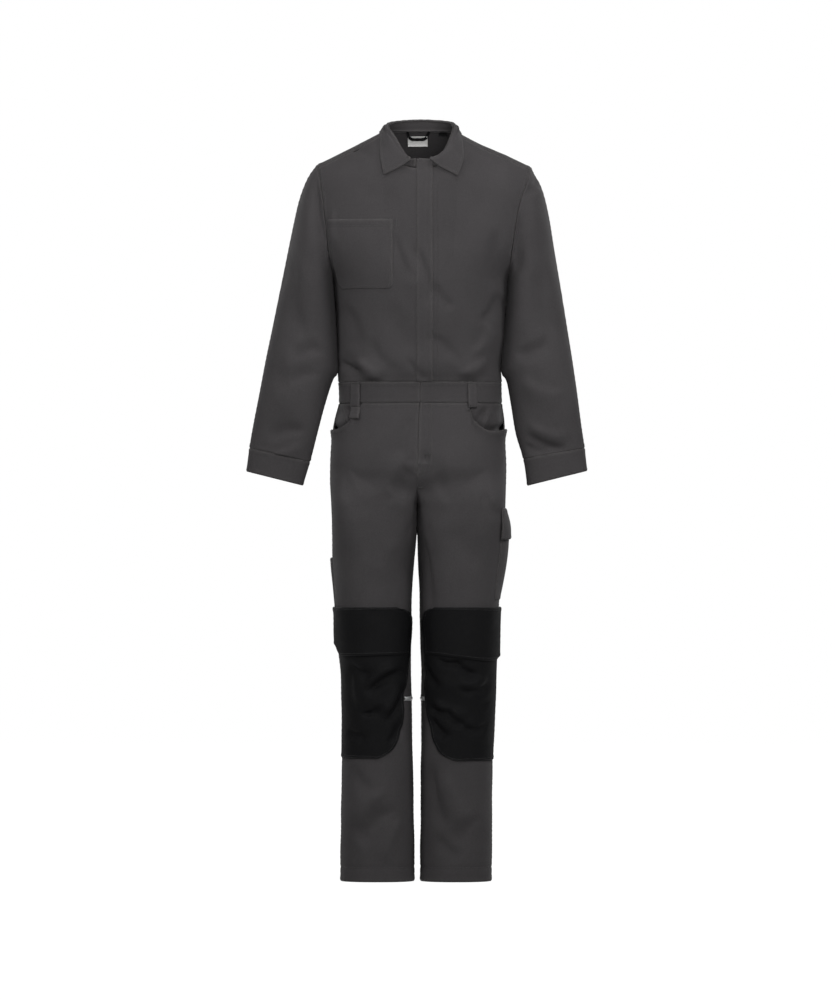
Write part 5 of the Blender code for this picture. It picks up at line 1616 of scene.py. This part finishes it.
def knee_stitching():
    """Rows round the knee patches and their flaps, in black."""
    lines = []
    for word, _ in SIDES:
        patch, flap = f"knee_patch_{word}", f"knee_flap_{word}"
        lines += twin(patch, "l", *PATCH_ROWS) + twin(patch, "b", *PATCH_ROWS)
        lines += [beside(patch, "r"), beside(flap, "l")]
        lines += twin(flap, "t", *PATCH_ROWS) + [beside(flap, "b", TOPSTITCH)]
    stitched("stitching_knees", lines, slot="patch")


def bartacks():
    """Bars of dense stitches where a corner or a loop takes the strain."""
    bars = []
    for x in POCKET_BARS:
        bars += bartack(in_front([(x, -150), (x, -166)], lift=POCKET_BAR_LIFT))
    for node, *_ in BELT_LOOPS:
        bars += bartack(beside(node, "t", BAR_ROW)) + bartack(beside(node, "b", BAR_ROW))
    for side, x, z in LEG_BARS:
        bar = [(x - BAR_HALF, z), (x + BAR_HALF, z)]
        bars += bartack(on_the_leg(side, bar, lift=LEG_BAR_LIFT))
    stitched("bartacks", bars, pitch=BARTACK_PITCH)


def colour_prop(name, code, about):
    """Colour property with an sRGB hex default."""
    return bpy.props.FloatVectorProperty(name=name, description=about, default=linear(code),
                                         subtype="COLOR", size=3, min=0, max=1)


class SuitSizes(bpy.types.PropertyGroup):
    """Sizes that a user would change."""
    stitch_pitch: bpy.props.FloatProperty(
        name="Stitch pitch", description="Distance from one stitch to the next",
        default=0.0033, min=0.001, unit="LENGTH")
    stitch_length: bpy.props.FloatProperty(
        name="Stitch length", description="Length of the thread that shows in one stitch",
        default=0.0026, min=0.0005, unit="LENGTH")
    thread: bpy.props.FloatProperty(
        name="Thread", description="Thickness of the sewing thread",
        default=0.0007, min=0.0002, unit="LENGTH")
    camera_distance: bpy.props.FloatProperty(
        name="Camera distance", description="From the camera to the suit's side seams",
        default=16.0, min=1.0, unit="LENGTH")
    frame_height: bpy.props.FloatProperty(
        name="Frame height", description="Height that the picture takes in at the suit",
        default=2.1, min=0.1, unit="LENGTH")
    frame_x: bpy.props.FloatProperty(
        name="Frame across", description="Place of the picture's middle, to the wearer's left",
        default=0.001, unit="LENGTH")
    frame_z: bpy.props.FloatProperty(
        name="Frame up", description="Height of the picture's middle",
        default=-0.735, unit="LENGTH")


class SuitColours(bpy.types.PropertyGroup):
    """Colours that a user would change."""
    twill: colour_prop("Twill", "#3b393a", "Main cloth")
    worn: colour_prop("Worn twill", "#464444", "Main cloth where its edges are rubbed")
    patch: colour_prop("Canvas", "#0e0e0f", "Knee patches")
    patch_worn: colour_prop("Worn canvas", "#131314", "Knee patches where their edges are rubbed")
    tape: colour_prop("Tape", "#141414", "Hanger loop and size tag")
    label: colour_prop("Label", "#e4e3e1", "Care label")
    reflective: colour_prop("Reflective trim", "#c9caca", "Trim behind the knees")
    # painted shade: the thread is darker than the twill so that its rows read as the dark lines of
    # stitch grooves
    thread: colour_prop("Thread", "#262525", "Thread on the twill")
    thread_dark: colour_prop("Dark thread", "#0c0c0d", "Thread on the canvas")
    floor: colour_prop("Floor", "#f2f1ef", "Studio floor")


class SuitOperator:
    """What the operators share."""
    bl_options = {"REGISTER", "UNDO"}


class SUIT_OT_bodice(SuitOperator, bpy.types.Operator):
    """Make the fronts, the back and the yoke"""
    bl_idname = "suit.bodice"
    bl_label = "Bodice"

    def execute(self, context):
        for word, side in SIDES:
            front_panel(word, side)
        back_panel()
        yoke_panel()
        return {"FINISHED"}


class SUIT_OT_sleeves(SuitOperator, bpy.types.Operator):
    """Make the sleeves and their cuffs"""
    bl_idname = "suit.sleeves"
    bl_label = "Sleeves"

    def execute(self, context):
        sleeve_panels()
        return {"FINISHED"}


class SUIT_OT_collar(SuitOperator, bpy.types.Operator):
    """Make the collar's stand and fall"""
    bl_idname = "suit.collar"
    bl_label = "Collar"

    def execute(self, context):
        collar_pieces()
        return {"FINISHED"}


class SUIT_OT_closure(SuitOperator, bpy.types.Operator):
    """Make the placket and the fly"""
    bl_idname = "suit.closure"
    bl_label = "Closure"

    def execute(self, context):
        closure_pieces()
        return {"FINISHED"}


class SUIT_OT_waist(SuitOperator, bpy.types.Operator):
    """Make the waistband and the belt loops"""
    bl_idname = "suit.waist"
    bl_label = "Waist"

    def execute(self, context):
        waist_pieces()
        return {"FINISHED"}


class SUIT_OT_trousers(SuitOperator, bpy.types.Operator):
    """Make the trouser fronts and backs"""
    bl_idname = "suit.trousers"
    bl_label = "Trousers"

    def execute(self, context):
        trouser_panels()
        return {"FINISHED"}


class SUIT_OT_pockets(SuitOperator, bpy.types.Operator):
    """Make the chest, hip, cargo and tool pockets"""
    bl_idname = "suit.pockets"
    bl_label = "Pockets"

    def execute(self, context):
        chest_pocket_piece()
        hip_pocket_pieces()
        side_pocket_pieces()
        return {"FINISHED"}


class SUIT_OT_knees(SuitOperator, bpy.types.Operator):
    """Make the knee patches and their flaps"""
    bl_idname = "suit.knees"
    bl_label = "Knees"

    def execute(self, context):
        knee_pieces()
        return {"FINISHED"}


class SUIT_OT_trims(SuitOperator, bpy.types.Operator):
    """Make the reflective trim, the labels and the hanger loop"""
    bl_idname = "suit.trims"
    bl_label = "Trims"

    def execute(self, context):
        trim_pieces()
        return {"FINISHED"}


class SUIT_OT_stitching(SuitOperator, bpy.types.Operator):
    """Make the topstitching and the bartacks"""
    bl_idname = "suit.stitching"
    bl_label = "Stitching"

    def execute(self, context):
        bodice_stitching()
        collar_stitching()
        sleeve_stitching()
        trouser_stitching()
        knee_stitching()
        bartacks()
        return {"FINISHED"}


class SUIT_OT_stage(SuitOperator, bpy.types.Operator):
    """Make the floor, the lights and the camera"""
    bl_idname = "suit.stage"
    bl_label = "Stage"

    def execute(self, context):
        stage_floor()
        stage_lights(context.scene)
        stage_camera(context.scene)
        return {"FINISHED"}


def stage_floor():
    """Round pale floor just under the hems."""
    turn = np.linspace(0, math.tau, FLOOR_SIDES, endpoint=False)
    rim = [(FLOOR_RADIUS * math.cos(t), FLOOR_RADIUS * math.sin(t), HEM * MM - FLOOR_UNDER)
           for t in turn]
    made = bpy.data.meshes.new("floor")
    made.from_pydata(rim, [], [list(range(len(rim)))])
    made.materials.append(finish("floor"))
    floor = bpy.data.objects.new("floor", made)
    bpy.context.scene.collection.objects.link(floor)
    floor.visible_diffuse = False   # the lamps and the room light the suit, not the floor


def stage_lights(scene):
    """Plain soft studio light: a white room that is dim as a light, and large lamps round it."""
    world = bpy.data.worlds.new("studio")
    world.use_nodes = True
    tree = world.node_tree
    seen = tree.nodes["Background"]
    seen.inputs["Color"].default_value = (1, 1, 1, 1)
    room = add(tree, "ShaderNodeBackground", values={"Color": (1, 1, 1, 1), "Strength": ROOM})
    path = add(tree, "ShaderNodeLightPath")
    both = add(tree, "ShaderNodeMixShader",
               links={0: path.outputs["Is Camera Ray"], 1: room.outputs["Background"],
                      2: seen.outputs["Background"]})
    tree.links.new(both.outputs["Shader"], tree.nodes["World Output"].inputs["Surface"])
    scene.world = world
    scene.view_settings.view_transform = "Standard"
    for name, place, size, power, towards in LAMPS:
        data = bpy.data.lights.new(name, "AREA")
        data.shape = "DISK"
        data.size = size
        data.energy = power
        lamp = bpy.data.objects.new(name, data)
        lamp.location = place
        lamp.visible_camera = False
        aim = np.array(towards) - np.array(place)
        lamp.rotation_euler = (math.atan2(math.hypot(aim[0], aim[1]), -aim[2]), 0,
                               math.atan2(aim[1], aim[0]) - math.pi / 2)
        scene.collection.objects.link(lamp)


def stage_camera(scene):
    """Long lens, level, square to the suit's front."""
    sizes = scene.suit_sizes
    data = bpy.data.cameras.new("camera")
    data.sensor_fit = "VERTICAL"
    data.sensor_height = SENSOR
    data.sensor_width = SENSOR
    data.lens = SENSOR * sizes.camera_distance / sizes.frame_height
    data.clip_end = 100
    camera = bpy.data.objects.new("camera", data)
    camera.location = (sizes.frame_x, SIDE_Y * MM - sizes.camera_distance, sizes.frame_z)
    camera.rotation_euler = (math.pi / 2, 0, 0)
    scene.collection.objects.link(camera)
    scene.camera = camera


STEPS = (SUIT_OT_bodice, SUIT_OT_sleeves, SUIT_OT_collar, SUIT_OT_closure, SUIT_OT_waist,
         SUIT_OT_trousers, SUIT_OT_pockets, SUIT_OT_knees, SUIT_OT_trims, SUIT_OT_stitching,
         SUIT_OT_stage)


class SUIT_PT_panel(bpy.types.Panel):
    """Sizes, colours and steps of the boiler suit"""
    bl_idname = "SUIT_PT_panel"
    bl_label = "Boiler suit"
    bl_space_type = "VIEW_3D"
    bl_region_type = "UI"
    bl_category = "Boiler suit"

    def draw(self, context):
        for group in (context.scene.suit_sizes, context.scene.suit_colours):
            for name in group.bl_rna.properties.keys():
                if name not in ("rna_type", "name"):
                    self.layout.prop(group, name)
        for step in STEPS:
            self.layout.operator(step.bl_idname)


CLASSES = (SuitSizes, SuitColours, *STEPS, SUIT_PT_panel)


def register():
    """Make the classes known, and give each scene its sizes and colours."""
    for made in CLASSES:
        bpy.utils.register_class(made)
    bpy.types.Scene.suit_sizes = bpy.props.PointerProperty(type=SuitSizes)
    bpy.types.Scene.suit_colours = bpy.props.PointerProperty(type=SuitColours)


def unregister():
    """Take back what register did."""
    del bpy.types.Scene.suit_colours
    del bpy.types.Scene.suit_sizes
    for made in reversed(CLASSES):
        bpy.utils.unregister_class(made)


def main():
    """Register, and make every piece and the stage."""
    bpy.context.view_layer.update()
    register()
    for step in STEPS:
        group, name = step.bl_idname.split(".")
        getattr(getattr(bpy.ops, group), name)()


if __name__ == "__main__":
    main()
